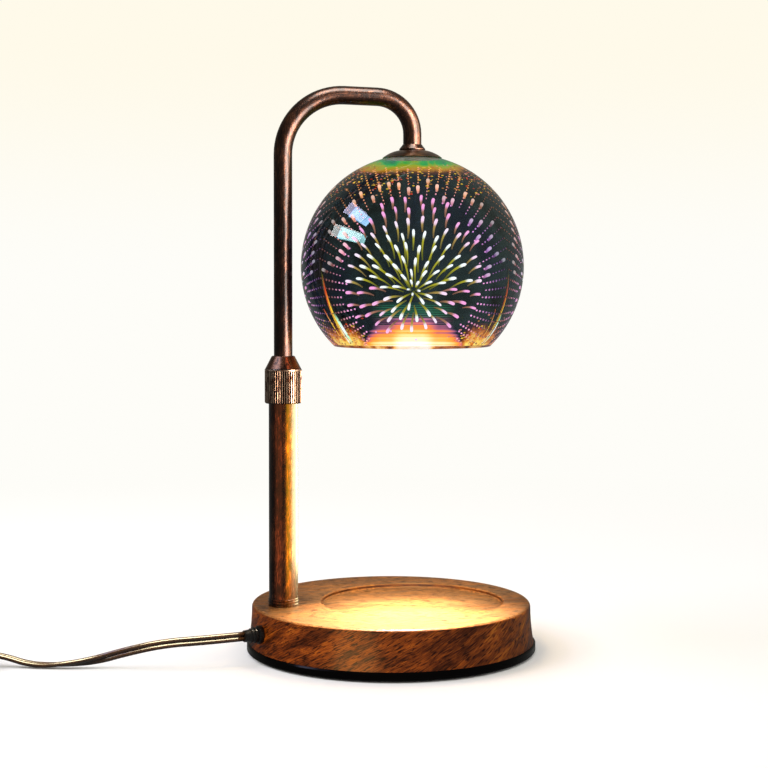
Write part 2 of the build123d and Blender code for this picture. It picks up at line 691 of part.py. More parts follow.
def plug():
    """Two-blade plug, lying flat, its blades towards +X."""
    front_x = PLUG_REAR_X + 34
    middle = PLUG_HEIGHT / 2
    sections = [(PLUG_REAR_X, 6.4, 6.0), (PLUG_REAR_X + 9, 8.6, 8.0), (PLUG_REAR_X + 17, 20.0, 12.2)]
    faces = [
        Plane(origin=(x, PLUG_Y, middle), x_dir=(0, 1, 0), z_dir=(1, 0, 0)) * RectangleRounded(w, h, h * 0.42)
        for x, w, h in sections
    ]
    body = loft(faces)
    front = Plane(origin=(PLUG_REAR_X + 17, PLUG_Y, middle), x_dir=(0, 1, 0), z_dir=(1, 0, 0))
    body += extrude(front * RectangleRounded(20.0, 12.2, 12.2 * 0.42), front_x - PLUG_REAR_X - 17)
    for number in range(4):
        body -= Pos(PLUG_REAR_X + 2.2 + 2.0 * number, PLUG_Y, middle) * (
            Box(0.8, 12, 12) - Box(0.8, 6.2 + 0.45 * number, 5.4 + 0.45 * number)
        )
    long, thick, wide = BLADE
    blades = []
    for side in (-1, 1):
        y = PLUG_Y + side * BLADE_SPACING / 2
        thickness, width = (y - thick / 2, y + thick / 2), (middle - wide / 2, middle + wide / 2)
        blade = block((front_x - 6, front_x + long), thickness, width)
        hole = Pos(front_x + long - 4.5, y, middle) * Rot(90, 0, 0) * Cylinder(1.6, 4)
        blade = chamfer((blade - hole).edges().filter_by(Axis.Y).sort_by(Axis.X)[-2:], 1.6)
        blades.append(blade)
        body -= block((front_x - 6, front_x + 1), thickness, width)
    save("plug_body", body)
    save("plug_blades", Compound(blades))


wood_base()
base_plate()
post_fixing()
lower_post()
clamp()
carriage()
arm()
shade()
shade_fixing()
lampholder()
bulb()
inner_leads()
cord()
dimmer()
plug()
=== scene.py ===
import math
import random

import bpy
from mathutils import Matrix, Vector


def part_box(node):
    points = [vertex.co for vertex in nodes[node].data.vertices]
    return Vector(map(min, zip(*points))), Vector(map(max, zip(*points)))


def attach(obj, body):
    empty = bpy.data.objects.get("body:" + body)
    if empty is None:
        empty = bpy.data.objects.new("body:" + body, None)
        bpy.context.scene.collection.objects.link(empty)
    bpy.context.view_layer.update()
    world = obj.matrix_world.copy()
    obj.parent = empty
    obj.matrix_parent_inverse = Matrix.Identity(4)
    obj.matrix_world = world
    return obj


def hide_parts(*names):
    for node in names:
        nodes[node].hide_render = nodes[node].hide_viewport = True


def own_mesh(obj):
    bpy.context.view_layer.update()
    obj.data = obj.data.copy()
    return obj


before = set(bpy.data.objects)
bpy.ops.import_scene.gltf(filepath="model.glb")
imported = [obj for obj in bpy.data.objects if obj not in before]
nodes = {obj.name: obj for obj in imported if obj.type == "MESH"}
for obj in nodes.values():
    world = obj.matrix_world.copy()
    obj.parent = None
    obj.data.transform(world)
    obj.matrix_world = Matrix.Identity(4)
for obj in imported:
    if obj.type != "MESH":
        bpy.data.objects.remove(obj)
scene = bpy.context.scene
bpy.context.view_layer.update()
mm = 0.001
print("frame loaded,", len(nodes), "nodes")

# Where the lamp's main parts are, in mm, with +Z up and the origin under the middle of the base
lamp = {
    "postX": -56.5,
    "shadeX": 11.2,
    "globeZ": 199.0,
    "rimZ": 157.6,
    "bulbFace": 171.7,
    "topHole": 11.0,  # radius of the hole in the globe's top
    "outerWall": (57.9, 55.9),  # radii, outside and inside
    "innerWall": (50.2, 48.5),
}
globeCentre = Vector((lamp["shadeX"], 0, lamp["globeZ"]))

view = {
    "azimuth": -11.37,  # degrees, and the distances in mm
    "pitch": 1.42,
    "distance": 834.2,
    "height": 189.8,
    "aside": -3.7,
    "lens": 75.3,
    "sensor": 36,
    "shift": -0.078,  # the lamp stands a little high in the frame
    "nearest": 50,
}


def viewAxes():  # to the right and straight ahead, for someone at the camera
    turn = math.radians(view["azimuth"])
    return Vector((math.cos(turn), math.sin(turn), 0)), Vector((-math.sin(turn), math.cos(turn), 0))


def placeCamera():
    right, ahead = viewAxes()
    camera = bpy.data.objects.new("camera", bpy.data.cameras.new("camera"))
    camera.data.lens = view["lens"]
    camera.data.sensor_width = view["sensor"]
    camera.data.shift_y = view["shift"]
    camera.data.clip_start = view["nearest"] * mm
    spot = right * view["aside"] - ahead * view["distance"]
    camera.location = (spot + Vector((0, 0, view["height"]))) * mm
    camera.rotation_euler = (math.radians(90 - view["pitch"]), 0, math.radians(view["azimuth"]))
    scene.collection.objects.link(camera)
    scene.camera = camera


placeCamera()


def linear(hexColour):  # an sRGB hex colour as the linear values a shader takes
    channels = [int(hexColour[i : i + 2], 16) / 255 for i in (1, 3, 5)]
    return [c / 12.92 if c <= 0.04045 else ((c + 0.055) / 1.055) ** 2.4 for c in channels] + [1.0]


def blendOf(a, b, share):
    return [x + (y - x) * share for x, y in zip(a, b)]


def smooth(low, high, value):  # 0 at low, 1 at high, eased between
    t = min(1.0, max(0.0, (value - low) / (high - low)))
    return t * t * (3 - 2 * t)


def fill(node, *values, **named):
    # values go to the node's inputs in order, and a named one to the input of that name, its words run
    # together, or in lower case to a property. Hex colours are turned linear, and another node stands for
    # its first output
    for name, value in named.items():
        if name.islower():
            setattr(node, name, value)
    inputs = {socket.name.replace(" ", ""): socket for socket in node.inputs}
    given = list(zip(node.inputs, values))
    given += [(inputs[name], value) for name, value in named.items() if not name.islower()]
    for socket, value in given:
        if isinstance(value, bpy.types.Node):
            value = value.outputs[0]
        if isinstance(value, bpy.types.NodeSocket):
            node.id_data.links.new(value, socket)
        else:
            socket.default_value = linear(value) if isinstance(value, str) else value
    return node


def addNode(tree, kind, *values, stops=(), **named):
    # stops are the (position, hex colour) pairs of a colour ramp
    node = fill(tree.nodes.new("ShaderNode" + kind), *values, **named)
    if stops:
        ramp = node.color_ramp.elements
        while len(ramp) < len(stops):
            ramp.new(0.5)
        for element, (position, colour) in zip(ramp, stops):
            element.position = position
            element.color = linear(colour)
    return node


# settings that come back: a MapRange without corners, and what a Math node does
eased = {"interpolation_type": "SMOOTHSTEP"}
times, plus, minus = [{"operation": name} for name in ("MULTIPLY", "ADD", "SUBTRACT")]


def newMaterial(name, **sockets):
    material = bpy.data.materials.new(name)
    material.use_nodes = True
    tree = material.node_tree
    return material, tree, fill(tree.nodes["Principled BSDF"], **sockets)


def feature(sizeInMm):  # texture scale at which one feature is that many millimetres
    return 1 / (sizeInMm * mm)


def place(tree, origin=(0, 0, 0), turn=(0, 0, 0), stretch=(1, 1, 1)):
    # the lamp's own coordinates, moved, turned and stretched for a pattern
    return addNode(
        tree,
        "Mapping",
        addNode(tree, "TexCoord").outputs["Object"],
        [v * mm for v in origin],
        [math.radians(a) for a in turn],
        stretch,
        vector_type="TEXTURE",
    )


def fromAxis(tree, x):
    # coordinates about an upright axis at x mm, and the distance from it
    spot = addNode(tree, "SeparateXYZ", place(tree, origin=(x, 0, 0))).outputs
    flat = addNode(tree, "CombineXYZ", spot["X"], spot["Y"])
    return spot, addNode(tree, "VectorMath", flat, operation="LENGTH").outputs["Value"]


def weighed(tree, *parts):
    # the sum of some patterns, each times its share
    total = None
    for pattern, share in parts:
        part = addNode(tree, "Math", pattern, share, **times)
        total = addNode(tree, "Math", total, part, **plus) if total else part
    return total


def fineRelief(tree, size, detail, depth, strength, stretch=(1, 1, 1)):
    # small bumps of one size, depth mm from the highest to the lowest
    grit = addNode(
        tree, "TexNoise", place(tree, stretch=stretch), Scale=feature(size), Detail=detail, Roughness=0.55
    )
    return addNode(tree, "Bump", Height=grit, Distance=depth * mm, Strength=strength)


def mottled(name, size, detail, stops, stretch=(1, 1, 1), **sockets):
    # a material whose colour drifts through the stops, in patches of that size
    material, tree, shader = newMaterial(name, **sockets)
    spot = place(tree, stretch=stretch)
    patches = addNode(tree, "TexNoise", spot, Scale=feature(size), Detail=detail, Roughness=0.55)
    fill(shader, BaseColor=addNode(tree, "ValToRGB", patches, stops=stops))
    return material, tree, shader, patches


def dress(material, *names):
    for name in names:
        slots = nodes[name].data.materials
        slots.clear()
        slots.append(material)


def makePiece(name, points, faces, body, slot, *materials):
    data = bpy.data.meshes.new(name)
    data.from_pydata(points, [], faces)
    data.validate()
    for face in data.polygons:
        face.use_smooth = True
    for material in materials:
        data.materials.append(material)
    piece = bpy.data.objects.new(name, data)
    scene.collection.objects.link(piece)
    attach(piece, body)
    return piece


def ringFaces(rings, count, closed=False, first=0):
    # quads from each ring of count points to the next, and from the last back to the first where closed
    faces = []
    for ring in range(rings if closed else rings - 1):
        near, far = first + ring * count, first + (ring + 1) % rings * count
        for k in range(count):
            after = (k + 1) % count
            faces.append((near + k, near + after, far + after, far + k))
    return faces


def turned(outline, centreX, segments=192):
    # a closed (radius, z) outline in mm, turned about an upright axis
    points = []
    for s in range(segments):
        angle = 2 * math.pi * s / segments
        for r, z in outline:
            points.append(Vector((centreX + r * math.cos(angle), r * math.sin(angle), z)) * mm)
    return points, ringFaces(segments, len(outline), closed=True)


def sweptAlong(path, outline, sideways):
    # an outline of (u, v) points carried along the path; u runs along sideways(i), v across it
    rings, count, points = len(path), len(outline), []
    for i, spot in enumerate(path):
        along = (path[min(i + 1, rings - 1)] - path[max(i - 1, 0)]).normalized()
        wide = sideways(i, along)
        wide = (wide - along * wide.dot(along)).normalized()
        thin = along.cross(wide)
        points.extend(spot + wide * u + thin * v for u, v in outline)
    faces = ringFaces(rings, count)
    faces.append(tuple(range(count))[::-1])
    faces.append(tuple(range((rings - 1) * count, rings * count)))
    return points, faces


flex = {
    "strand": 2.4,  # mm, two strands side by side
    "web": 0.6,  # mm, half the thickness of the skin that joins them
    "webFrom": 0.65,  # where the web starts, as a share of a strand's radius
    "length": 1.43,  # m, from the gland to the plug
    "onEdgeUntil": 60,  # mm from the gland, where the strands still lie one above the other
    "flatFrom": 105,
    "turnsUp": (-0.271, -0.296),  # m, x between which it turns on edge again, on its way into the coil
    "coilFrom": 300,  # mm from the gland, from where it stays on edge
    "intoPlug": (-13, -5, 3),  # mm past the plug's rear: off the coil, level with the plug, and the end
    "shades": [(0.3, "#170d09"), (0.7, "#2c1b10")],
}
# From the gland to the dimmer, through it, and on to the coil, in metres
mainsCordRoute = [
    (-0.07942, -0.02158, 0.0142),
    (-0.09872, -0.02682, 0.0142),
    (-0.119, -0.0232, 0.0128),
    (-0.1374, -0.019, 0.0086),
    (-0.1522, -0.0136, 0.0037),
    (-0.1673, -0.0124, 0.0021),
    (-0.183, -0.0078, 0.0013),
    (-0.198, -0.0014, 0.0056),
    (-0.212, 0.0, 0.007),
    (-0.2315, 0.0, 0.007),
    (-0.2505, 0.0, 0.007),
    (-0.270, 0.0, 0.007),
    (-0.281, 0.0, 0.0056),
    (-0.2925, 0.0001, 0.0034),
]
coil = {
    "centre": (-306.0, 30.7),
    "outerTurn": 30.65,  # mm, radius of the outermost turn
    "pitch": 2.55,
    "columns": 5,
    "turns": 7.5,
    "lowLayer": 2.9,  # mm above the table, the middle of each layer
    "highLayer": 7.8,
    "pointsPerTurn": 16,
    "wander": 0.25,  # mm, how far the turns stray from true
}
# From the gland into the base, to the terminal block, in metres
tailRoute = [
    (-0.0795, -0.0216, 0.0142),
    (-0.055, -0.01494, 0.0142),
    (-0.040, -0.015, 0.0115),
    (-0.025, -0.017, 0.0096),
    (-0.025, -0.008, 0.0096),
]


def coilSpot(turn):
    # where the cord is after that many turns: inwards on the table, up, and outwards again
    whole, part = int(turn), turn % 1
    last = coil["columns"] - 1
    if whole <= last:
        column = whole + (smooth(0.75, 1.0, part) if whole < last else 0)
    else:
        column = 2 * last + 1 - whole - smooth(0.25, 0.5, part)
    radius = coil["outerTurn"] - coil["pitch"] * column
    radius += coil["wander"] * math.sin(5.1 * turn) * math.sin(1.3 * turn + 0.4)
    # the spline runs inside its points
    radius /= 0.75 + 0.25 * math.cos(2 * math.pi / coil["pointsPerTurn"])
    layer = smooth(last + 0.5, last + 0.75, turn)
    height = coil["lowLayer"] + (coil["highLayer"] - coil["lowLayer"]) * layer
    angle = -math.pi / 2 - 2 * math.pi * turn
    x, y = coil["centre"]
    return (x + radius * math.cos(angle)) * mm, (y + radius * math.sin(angle)) * mm, height * mm


def cordRoute():
    route = list(mainsCordRoute)
    steps = int(coil["turns"] * coil["pointsPerTurn"])
    route += [coilSpot(step / coil["pointsPerTurn"]) for step in range(steps + 1)]
    low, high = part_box("plug_body")
    y, z = (low.y + high.y) / 2, (low.z + high.z) / 2
    leaves, levels, ends = [low.x + x * mm for x in flex["intoPlug"]]
    route += [(leaves, y, coil["highLayer"] * mm), (levels, y, z), (ends, y, z)]
    return route


def splinePoints(name, route, resolution):
    # the smooth line that the route's points control, as a list of points
    curve = bpy.data.curves.new(name, "CURVE")
    curve.dimensions = "3D"
    curve.resolution_u = resolution
    spline = curve.splines.new("NURBS")
    spline.points.add(len(route) - 1)
    for point, spot in zip(spline.points, route):
        point.co = (*spot, 1)
    spline.use_endpoint_u = True
    spline.order_u = 3
    holder = bpy.data.objects.new(name, curve)
    line = bpy.data.meshes.new_from_object(holder)
    points = [Vector(v.co) for v in line.vertices]
    bpy.data.objects.remove(holder)
    return points


def flexOutline():
    # two round strands with a thin web between them
    radius, quarter = flex["strand"] / 2, []
    for angle in (0, 12, 24, 36, 48, 58, 66, 72, 78, 84, 90):  # closer together at the web
        a = math.radians(angle)
        web = min(flex["web"] / max(math.sin(a), 1e-6), flex["webFrom"] * radius)
        reach = max(2 * radius * math.cos(a), web)
        quarter.append((reach * math.cos(a), reach * math.sin(a)))
    upper = quarter + [(-u, v) for u, v in reversed(quarter[:-1])]
    return [(u * mm, v * mm) for u, v in upper + [(u, -v) for u, v in reversed(upper[1:-1])]]


def makeFlex(name, route, edgeOn, resolution):
    # edgeOn(s, spot) is 1 where the strands lie one above the other and 0 where they lie flat
    path = splinePoints(name + "Line", route, resolution)
    lengths = [0.0]
    for a, b in zip(path, path[1:]):
        lengths.append(lengths[-1] + (b - a).length)

    def sideways(i, along):
        flat = Vector((0, 0, 1)).cross(along).normalized()
        lean = edgeOn(lengths[i] / mm, path[i]) * math.pi / 2
        return flat * math.cos(lean) + along.cross(flat) * math.sin(lean)

    points, faces = sweptAlong(path, flexOutline(), sideways)
    return path, lengths[-1], points, faces


def pvcFlex():
    # flexible PVC, extruded: glossy, with faint waves along it and a little dust in the shine
    material, tree, shader, _ = mottled(
        "pvcFlex", 14, 3, flex["shades"], CoatWeight=0.4, CoatRoughness=0.12, SpecularIORLevel=0.55
    )
    dust = addNode(tree, "TexNoise", place(tree), Scale=feature(3), Detail=3, Roughness=0.55)
    shine = addNode(tree, "MapRange", dust, 0.3, 0.7, 0.16, 0.3, **eased)
    fill(shader, Roughness=shine, Normal=fineRelief(tree, 1.2, 2, 0.02, 0.4))
    return material


def makeCord(material):
    def edgeOn(s, spot):
        start, end = flex["turnsUp"]
        if spot.x > start:
            return 1 - smooth(flex["onEdgeUntil"], flex["flatFrom"], s)
        return smooth(start, end, spot.x) if s < flex["coilFrom"] else 1

    path, run, points, faces = makeFlex("mains_flex", cordRoute(), edgeOn, 10)
    cord = makePiece("mains_flex", points, faces, "base", "brown_flex", material)
    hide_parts("mains_cord", "cord_link", "cord_coil", "cord_end")
    tie = makeTie()
    print("cord made,", round(run, 3), "m")

    _, _, points, faces = makeFlex("tail_flex", tailRoute, lambda s, spot: 1, 8)
    tail = makePiece("tail_flex", points, faces, "base", "brown_flex", material)
    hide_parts("mains_tail")


strap = {
    "width": 6.0,
    "thick": 0.7,
    "edge": 0.2,  # how far its rounded edges stand out
    "slack": 1.5,  # mm past the turns on each side
    "overTop": 2.7,  # mm above the middle of the top layer
    "offTable": 0.05,
    "corner": 2.2,
    "colour": "#17181a",
}


def wovenNylon():
    # nylon tape, woven: dull, with its threads showing as a fine cross-hatch
    material, tree, shader = newMaterial("wovenNylonStrap", BaseColor=strap["colour"], Roughness=0.85)
    threads = addNode(tree, "TexChecker", place(tree), Scale=feature(0.5)).outputs["Fac"]
    fill(shader, Normal=addNode(tree, "Bump", Height=threads, Distance=0.08 * mm, Strength=0.7))
    return material


def makeTie():
    # a soft strap round all the turns, at the coil's left side
    x, y = coil["centre"]
    corner, half, thick = strap["corner"], strap["width"] / 2, strap["thick"] / 2
    inner = coil["outerTurn"] - coil["pitch"] * (coil["columns"] - 1) - strap["slack"]
    outer = coil["outerTurn"] + strap["slack"]
    low, high = strap["offTable"] + thick, coil["highLayer"] + strap["overTop"]
    corners = [(outer - corner, high - corner), (inner + corner, high - corner)]
    corners += [(inner + corner, low + corner), (outer - corner, low + corner)]
    path = []
    for number, (r, z) in enumerate(corners):
        for step in range(7):
            a = math.radians(90 * number + 15 * step)
            path.append(Vector((r + corner * math.cos(a), z + corner * math.sin(a))))
    middle = Vector(((inner + outer) / 2, (low + high) / 2))
    edge = half + strap["edge"]
    section = [(-half, -thick), (half, -thick), (edge, 0), (half, thick), (-half, thick), (-edge, 0)]
    points = []
    for i, spot in enumerate(path):
        along = (path[(i + 1) % len(path)] - path[i - 1]).normalized()
        out = Vector((along.y, -along.x))
        if out.dot(spot - middle) < 0:
            out = -out
        for across, up in section:
            points.append(Vector((x - spot.x - out.x * up, y + across, spot.y + out.y * up)) * mm)
    faces = ringFaces(len(path), len(section), closed=True)
    return makePiece("coil_tie", points, faces, "base", "black_rubber", wovenNylon())


flexMaterial = pvcFlex()
makeCord(flexMaterial)


walnut = {
    "dark": "#170802",
    "brown": "#441e06",
    "warm": "#743a0b",
    "pale": "#9c5c12",
    "pore": "#100501",
    "poreDepth": 0.86,  # how much of the pore's colour shows
    "stroke": 0.62,  # mm, width of a dark pore
    "fibre": 0.4,
    "vein": 6.0,  # mm between the broader veins
    "cloud": 28,
    "lean": 27,  # degrees, how the veneer's grain climbs round the side
    "topTurn": 4,  # degrees, of the grain on top
    "radius": 73.0,  # mm, of the side, for wrapping the veneer
    "topLeaf": "#a87e4e",  # painted light: the top is made paler, where the light falls on it
    "topPaler": 0.34,
    "sideFrom": (66, 69),  # mm from the middle, inside which only the seat's low wall stands upright
    "seatWall": "#1a0a04",  # painted shade, darker on the seat's low wall
    "wallStain": 0.65,
}


def walnutVeneer():
    # walnut veneer, lacquered: short dark pores along the grain and soft veins between, under a satin shine.
    # Round the side it is one wrapped strip whose grain climbs, its joint at the back; on top it lies flat
    material, tree, shader = newMaterial(
        "walnutVeneer", CoatWeight=0.2, CoatRoughness=0.24, SpecularIORLevel=0.05
    )
    spot, fromMiddle = fromAxis(tree, 0)
    backwards = addNode(tree, "Math", spot["Y"], -1.0, **times)
    around = addNode(tree, "Math", spot["X"], backwards, operation="ARCTAN2")
    wrapped = addNode(tree, "Math", around, walnut["radius"] * mm, **times)
    wrapped = addNode(tree, "CombineXYZ", wrapped, spot["Z"])
    upward = addNode(tree, "SeparateXYZ", addNode(tree, "NewGeometry").outputs["Normal"]).outputs["Z"]
    onTop = addNode(tree, "MapRange", upward, 0.55, 0.8, **eased)
    onSide = addNode(tree, "MapRange", fromMiddle, *[edge * mm for edge in walnut["sideFrom"]], **eased)
    veneered = addNode(tree, "Math", onTop, onSide, operation="MAXIMUM")

    def along(stretch):
        lean = (0, 0, math.radians(walnut["lean"]))
        side = addNode(tree, "Mapping", wrapped, Rotation=lean, Scale=(stretch, 1, 1), vector_type="TEXTURE")
        top = place(tree, turn=(0, 0, walnut["topTurn"]), stretch=(stretch, 1, 1))
        return addNode(tree, "MixRGB", onTop, side, top)

    size = feature(walnut["stroke"])
    strokes = addNode(tree, "TexNoise", along(7.5), Scale=size, Detail=2, Roughness=0.5, Distortion=0.3)
    fibres = addNode(tree, "TexNoise", along(14), Scale=feature(walnut["fibre"]), Detail=3, Roughness=0.5)
    size = feature(walnut["vein"])
    veins = addNode(tree, "TexNoise", along(5), Scale=size, Detail=4, Roughness=0.6, Distortion=0.5)
    clouds = addNode(tree, "TexNoise", along(2), Scale=feature(walnut["cloud"]), Detail=2, Roughness=0.55)
    tone = weighed(tree, (fibres, 0.32), (veins, 0.48), (clouds, 0.20))
    stops = [(0.36, walnut["dark"]), (0.46, walnut["brown"]), (0.55, walnut["warm"]), (0.68, walnut["pale"])]
    colour = addNode(tree, "ValToRGB", tone, stops=stops)
    pores = addNode(tree, "MapRange", strokes, 0.55, 0.585, **eased)
    pores = addNode(tree, "Math", pores, veneered, **times)
    wall = addNode(tree, "Math", 1.0, veneered, **minus)
    # the top paler as painted light, the pores darker, and the seat's low wall darker as painted shade
    for where, share, over in (
        (onTop, walnut["topPaler"], walnut["topLeaf"]),
        (pores, walnut["poreDepth"], walnut["pore"]),
        (wall, walnut["wallStain"], walnut["seatWall"]),
    ):
        share = addNode(tree, "Math", where, share, **times)
        colour = addNode(tree, "MixRGB", share, colour, over)
    shine = addNode(tree, "MapRange", veins, 0.3, 0.7, 0.4, 0.58, **eased)
    relief = addNode(tree, "Math", fibres, addNode(tree, "Math", pores, 0.8, **times), **minus)
    fill(shader, BaseColor=colour, Roughness=shine)
    fill(shader, Normal=addNode(tree, "Bump", Height=relief, Distance=0.12 * mm, Strength=0.6))
    return material


def blackEnamel():
    # steel sheet, spray enamelled: deep gloss with the slight orange peel of a sprayed coat
    material, tree, shader = newMaterial("blackEnamel", BaseColor="#050404", SpecularIORLevel=0.05)
    dust = addNode(tree, "TexNoise", place(tree), Scale=feature(9), Detail=5, Roughness=0.55)
    shine = addNode(tree, "MapRange", dust, 0.35, 0.7, 0.12, 0.28, **eased)
    fill(shader, Roughness=shine, Normal=fineRelief(tree, 1.6, 1, 0.02, 0.35))
    return material


dress(walnutVeneer(), "wood_base")
dress(blackEnamel(), "base_plate")
print("base finished")


bronze = {
    "stops": [(0.57, "#150b07"), (0.69, "#3a2115"), (0.83, "#845438"), (1.0, "#d4b090")],
    "streak": 0.5,  # mm, width of a rubbed streak
    "archFrom": (268, 284),  # mm, the height over which the streaks turn level
}
nut = {
    "flank": 9.28,  # mm, radii between which the knurl's ridges get brighter
    "ridge": 9.48,
    "shoulder": (146.7, 146.9),  # mm, the height at which the plain cone starts
    "coneWear": 0.62,
    "stops": [(0.0, "#0b0604"), (0.4, "#2c180f"), (0.72, "#80553c"), (1.0, "#ecd0b4")],
}


def rubbedBronze():
    # steel tube, plated antique bronze: nearly black, rubbed back by hand to copper in short streaks along
    # the tube, then lacquered clear, which lays one soft pale highlight over all of it
    material, tree, shader = newMaterial("rubbedBronze", Metallic=1.0, CoatWeight=0.7, CoatRoughness=0.24)
    height = addNode(tree, "SeparateXYZ", place(tree)).outputs["Z"]
    overTop = addNode(tree, "MapRange", height, *[z * mm for z in bronze["archFrom"]], **eased)
    size = feature(bronze["streak"])
    upright, level = [
        addNode(tree, "TexNoise", place(tree, stretch=way), Scale=size, Detail=4, Roughness=0.6)
        for way in ((1, 1, 11), (11, 1, 1))
    ]
    streaks = addNode(tree, "MixRGB", overTop, upright, level)
    spot = place(tree, stretch=(1, 1, 2.2))
    patches = addNode(tree, "TexNoise", spot, Scale=feature(7), Detail=5, Roughness=0.65, Distortion=0.8)
    spot = place(tree, turn=(0, 28, 0), stretch=(1, 1, 7))
    slant = addNode(tree, "TexNoise", spot, Scale=feature(0.8), Detail=3, Roughness=0.55)
    wear = weighed(tree, (streaks, 0.55), (patches, 0.55), (slant, 0.22))
    shine = addNode(tree, "MapRange", wear, 0.5, 0.85, 0.48, 0.27, **eased)
    fill(shader, BaseColor=addNode(tree, "ValToRGB", wear, stops=bronze["stops"]), Roughness=shine)
    fill(shader, Normal=addNode(tree, "Bump", Height=wear, Distance=0.06 * mm, Strength=0.5))
    return material


def knurledCopper():
    # brass nut, knurled, then plated antique copper: black left in the grooves, bright on the ridges
    material, tree, shader = newMaterial("knurledCopper", Metallic=1.0, CoatWeight=0.5, CoatRoughness=0.2)
    spot, radius = fromAxis(tree, lamp["postX"])
    ridges = addNode(tree, "MapRange", radius, nut["flank"] * mm, nut["ridge"] * mm, **eased)
    low, high = nut["shoulder"]
    cone = addNode(tree, "MapRange", spot["Z"], low * mm, high * mm, 0.0, nut["coneWear"], **eased)
    worn = addNode(tree, "Math", ridges, cone, operation="MAXIMUM")
    spot = place(tree, stretch=(1, 1, 2))
    patches = addNode(tree, "TexNoise", spot, Scale=feature(2.4), Detail=5, Roughness=0.7, Distortion=0.6)
    left = addNode(tree, "MapRange", patches, 0.3, 0.55, 0.5, 1.0, **eased)
    worn = addNode(tree, "Math", worn, left, **times)
    shine = addNode(tree, "MapRange", patches, 0.3, 0.7, 0.38, 0.22, **eased)
    fill(shader, BaseColor=addNode(tree, "ValToRGB", worn, stops=nut["stops"]), Roughness=shine)
    fill(shader, Normal=addNode(tree, "Bump", Height=patches, Distance=0.05 * mm, Strength=0.4))
    return material


def spunBronze():
    # brass dome, spun and plated bronze: fine rings about its axis, a little copper where the tool ran
    material, tree, shader = newMaterial(
        "spunBronze", Metallic=1.0, Roughness=0.34, CoatWeight=0.6, CoatRoughness=0.2
    )
    _, radius = fromAxis(tree, lamp["shadeX"])
    rings = addNode(tree, "TexNoise", W=radius, Scale=feature(0.35), Detail=3, noise_dimensions="1D")
    patches = addNode(tree, "TexNoise", place(tree), Scale=feature(5), Detail=4, Roughness=0.55)
    tone = weighed(tree, (rings, 0.5), (patches, 0.5))
    stops = [(0.35, "#1d110a"), (0.5, "#4e341f"), (0.66, "#8f6842")]
    relief = addNode(tree, "Bump", Height=rings, Distance=0.04 * mm, Strength=0.5)
    fill(shader, BaseColor=addNode(tree, "ValToRGB", tone, stops=stops), Normal=relief)
    return material


dress(rubbedBronze(), "lower_tube", "foot_collar", "arm_tube", "neck_collar")
dress(knurledCopper(), "clamp_nut")
dress(spunBronze(), "shade_cap")
print("post and arm finished")


burst = {
    "bursts": 3,  # round the globe, so that one faces each way
    "facing": 258.4,  # degrees from +X, the first burst's direction
    "drop": 11.5,  # mm below the globe's middle
    "surface": 53.0,  # mm, radius at which the distances below are measured
    "film": 50.2,  # mm, radius of the metallised skin that carries the pattern
    "heights": (161.0, 247.2),  # mm, between the rim and the cap
    "rings": [(4.4, 5), (10.2, 9), (16.4, 15), (22.8, 21), (29.4, 26), (36.0, 31), (42.6, 36), (49.0, 40)],
    "scatter": 1.3,  # mm, in or out of the ring
    "reach": (52, 39, 27),  # mm, how far the sparks go upwards, sideways and downwards
    "headRadius": 0.76,
    "tail": 13.5,
    "sag": (-14, 34),  # degrees off the spoke, at the head and at the tail's end
    "dotArms": 62,
    "dotStep": 2.3,
    "dotsUntil": 84,  # mm from the burst's middle, and the longer cuts only so far
    "cutsUntil": 64,
    "glow": (172.5, 32),  # mm of height and degrees aside, where the lamp's glow drowns most dots
}
shelf = 2.15  # mm, the rim ring's height between the walls
glowColours = {
    "white": linear("#f2fbff"),
    "lime": linear("#a8a21c"),
    "olive": linear("#4c5212"),
    "pink": linear("#f0a0da"),
    "rust": linear("#a4705c"),
    "purple": linear("#a874dc"),
    "salmon": linear("#e08a86"),
    "orange": linear("#f0a25c"),
    "gold": linear("#f4c63a"),
    "red": linear("#d8401c"),
    "mint": linear("#b8f2c8"),
    "black": linear("#000000"),
}


def arcPoints(radius, fromZ, toZ, steps):
    # (radius, z) points of a sphere about the globe's centre
    start, end = [math.acos((z - lamp["globeZ"]) / radius) for z in (fromZ, toZ)]
    turns = [start + (end - start) * i / steps for i in range(steps + 1)]
    return [(radius * math.sin(a), lamp["globeZ"] + radius * math.cos(a)) for a in turns]


def topZ(radius):
    return lamp["globeZ"] + math.sqrt(radius**2 - lamp["topHole"] ** 2)


def clearOutline():
    # the clear glass, from its outside down to the metallised skin, with a notch for the rim ring
    outer, inner = lamp["outerWall"]
    bottom, skin = lamp["rimZ"], burst["film"] + 0.05
    outline = arcPoints(outer, topZ(outer), bottom + 0.5, 120)
    r = outline[-1][0]
    outline += [(r - 0.35, bottom + 0.12), (r - 0.8, bottom)]  # the fire-polished edge
    lip = arcPoints(inner, bottom, bottom + shelf, 4)
    outline += [(lip[0][0] + 0.35, bottom), *lip[1:]]
    return outline + arcPoints(skin, bottom + shelf, topZ(burst["film"]), 120)


def innerOutline():
    outer, inner = lamp["innerWall"]
    bottom = lamp["rimZ"] + shelf
    return arcPoints(outer, topZ(outer), bottom, 110) + arcPoints(inner, bottom, topZ(inner), 110)


def clearGlass():
    # clear blown glass: smooth and colourless, with the faint waves of blowing
    material, tree, shader = newMaterial(
        "clearBlownGlass", BaseColor="#fbfdfd", Roughness=0.0, IOR=1.45, TransmissionWeight=1.0
    )
    fill(shader, Normal=fineRelief(tree, 24, 1, 0.2, 0.1))
    return material


def azimuthWave(tree, spot):
    # 1 where a burst faces, -1 half way to the next one
    angle = addNode(tree, "Math", spot["Y"], spot["X"], operation="ARCTAN2")
    fromBurst = addNode(tree, "Math", angle, math.radians(burst["facing"]), **minus)
    waves = addNode(tree, "Math", fromBurst, float(burst["bursts"]), **times)
    return addNode(tree, "Math", waves, operation="COSINE")


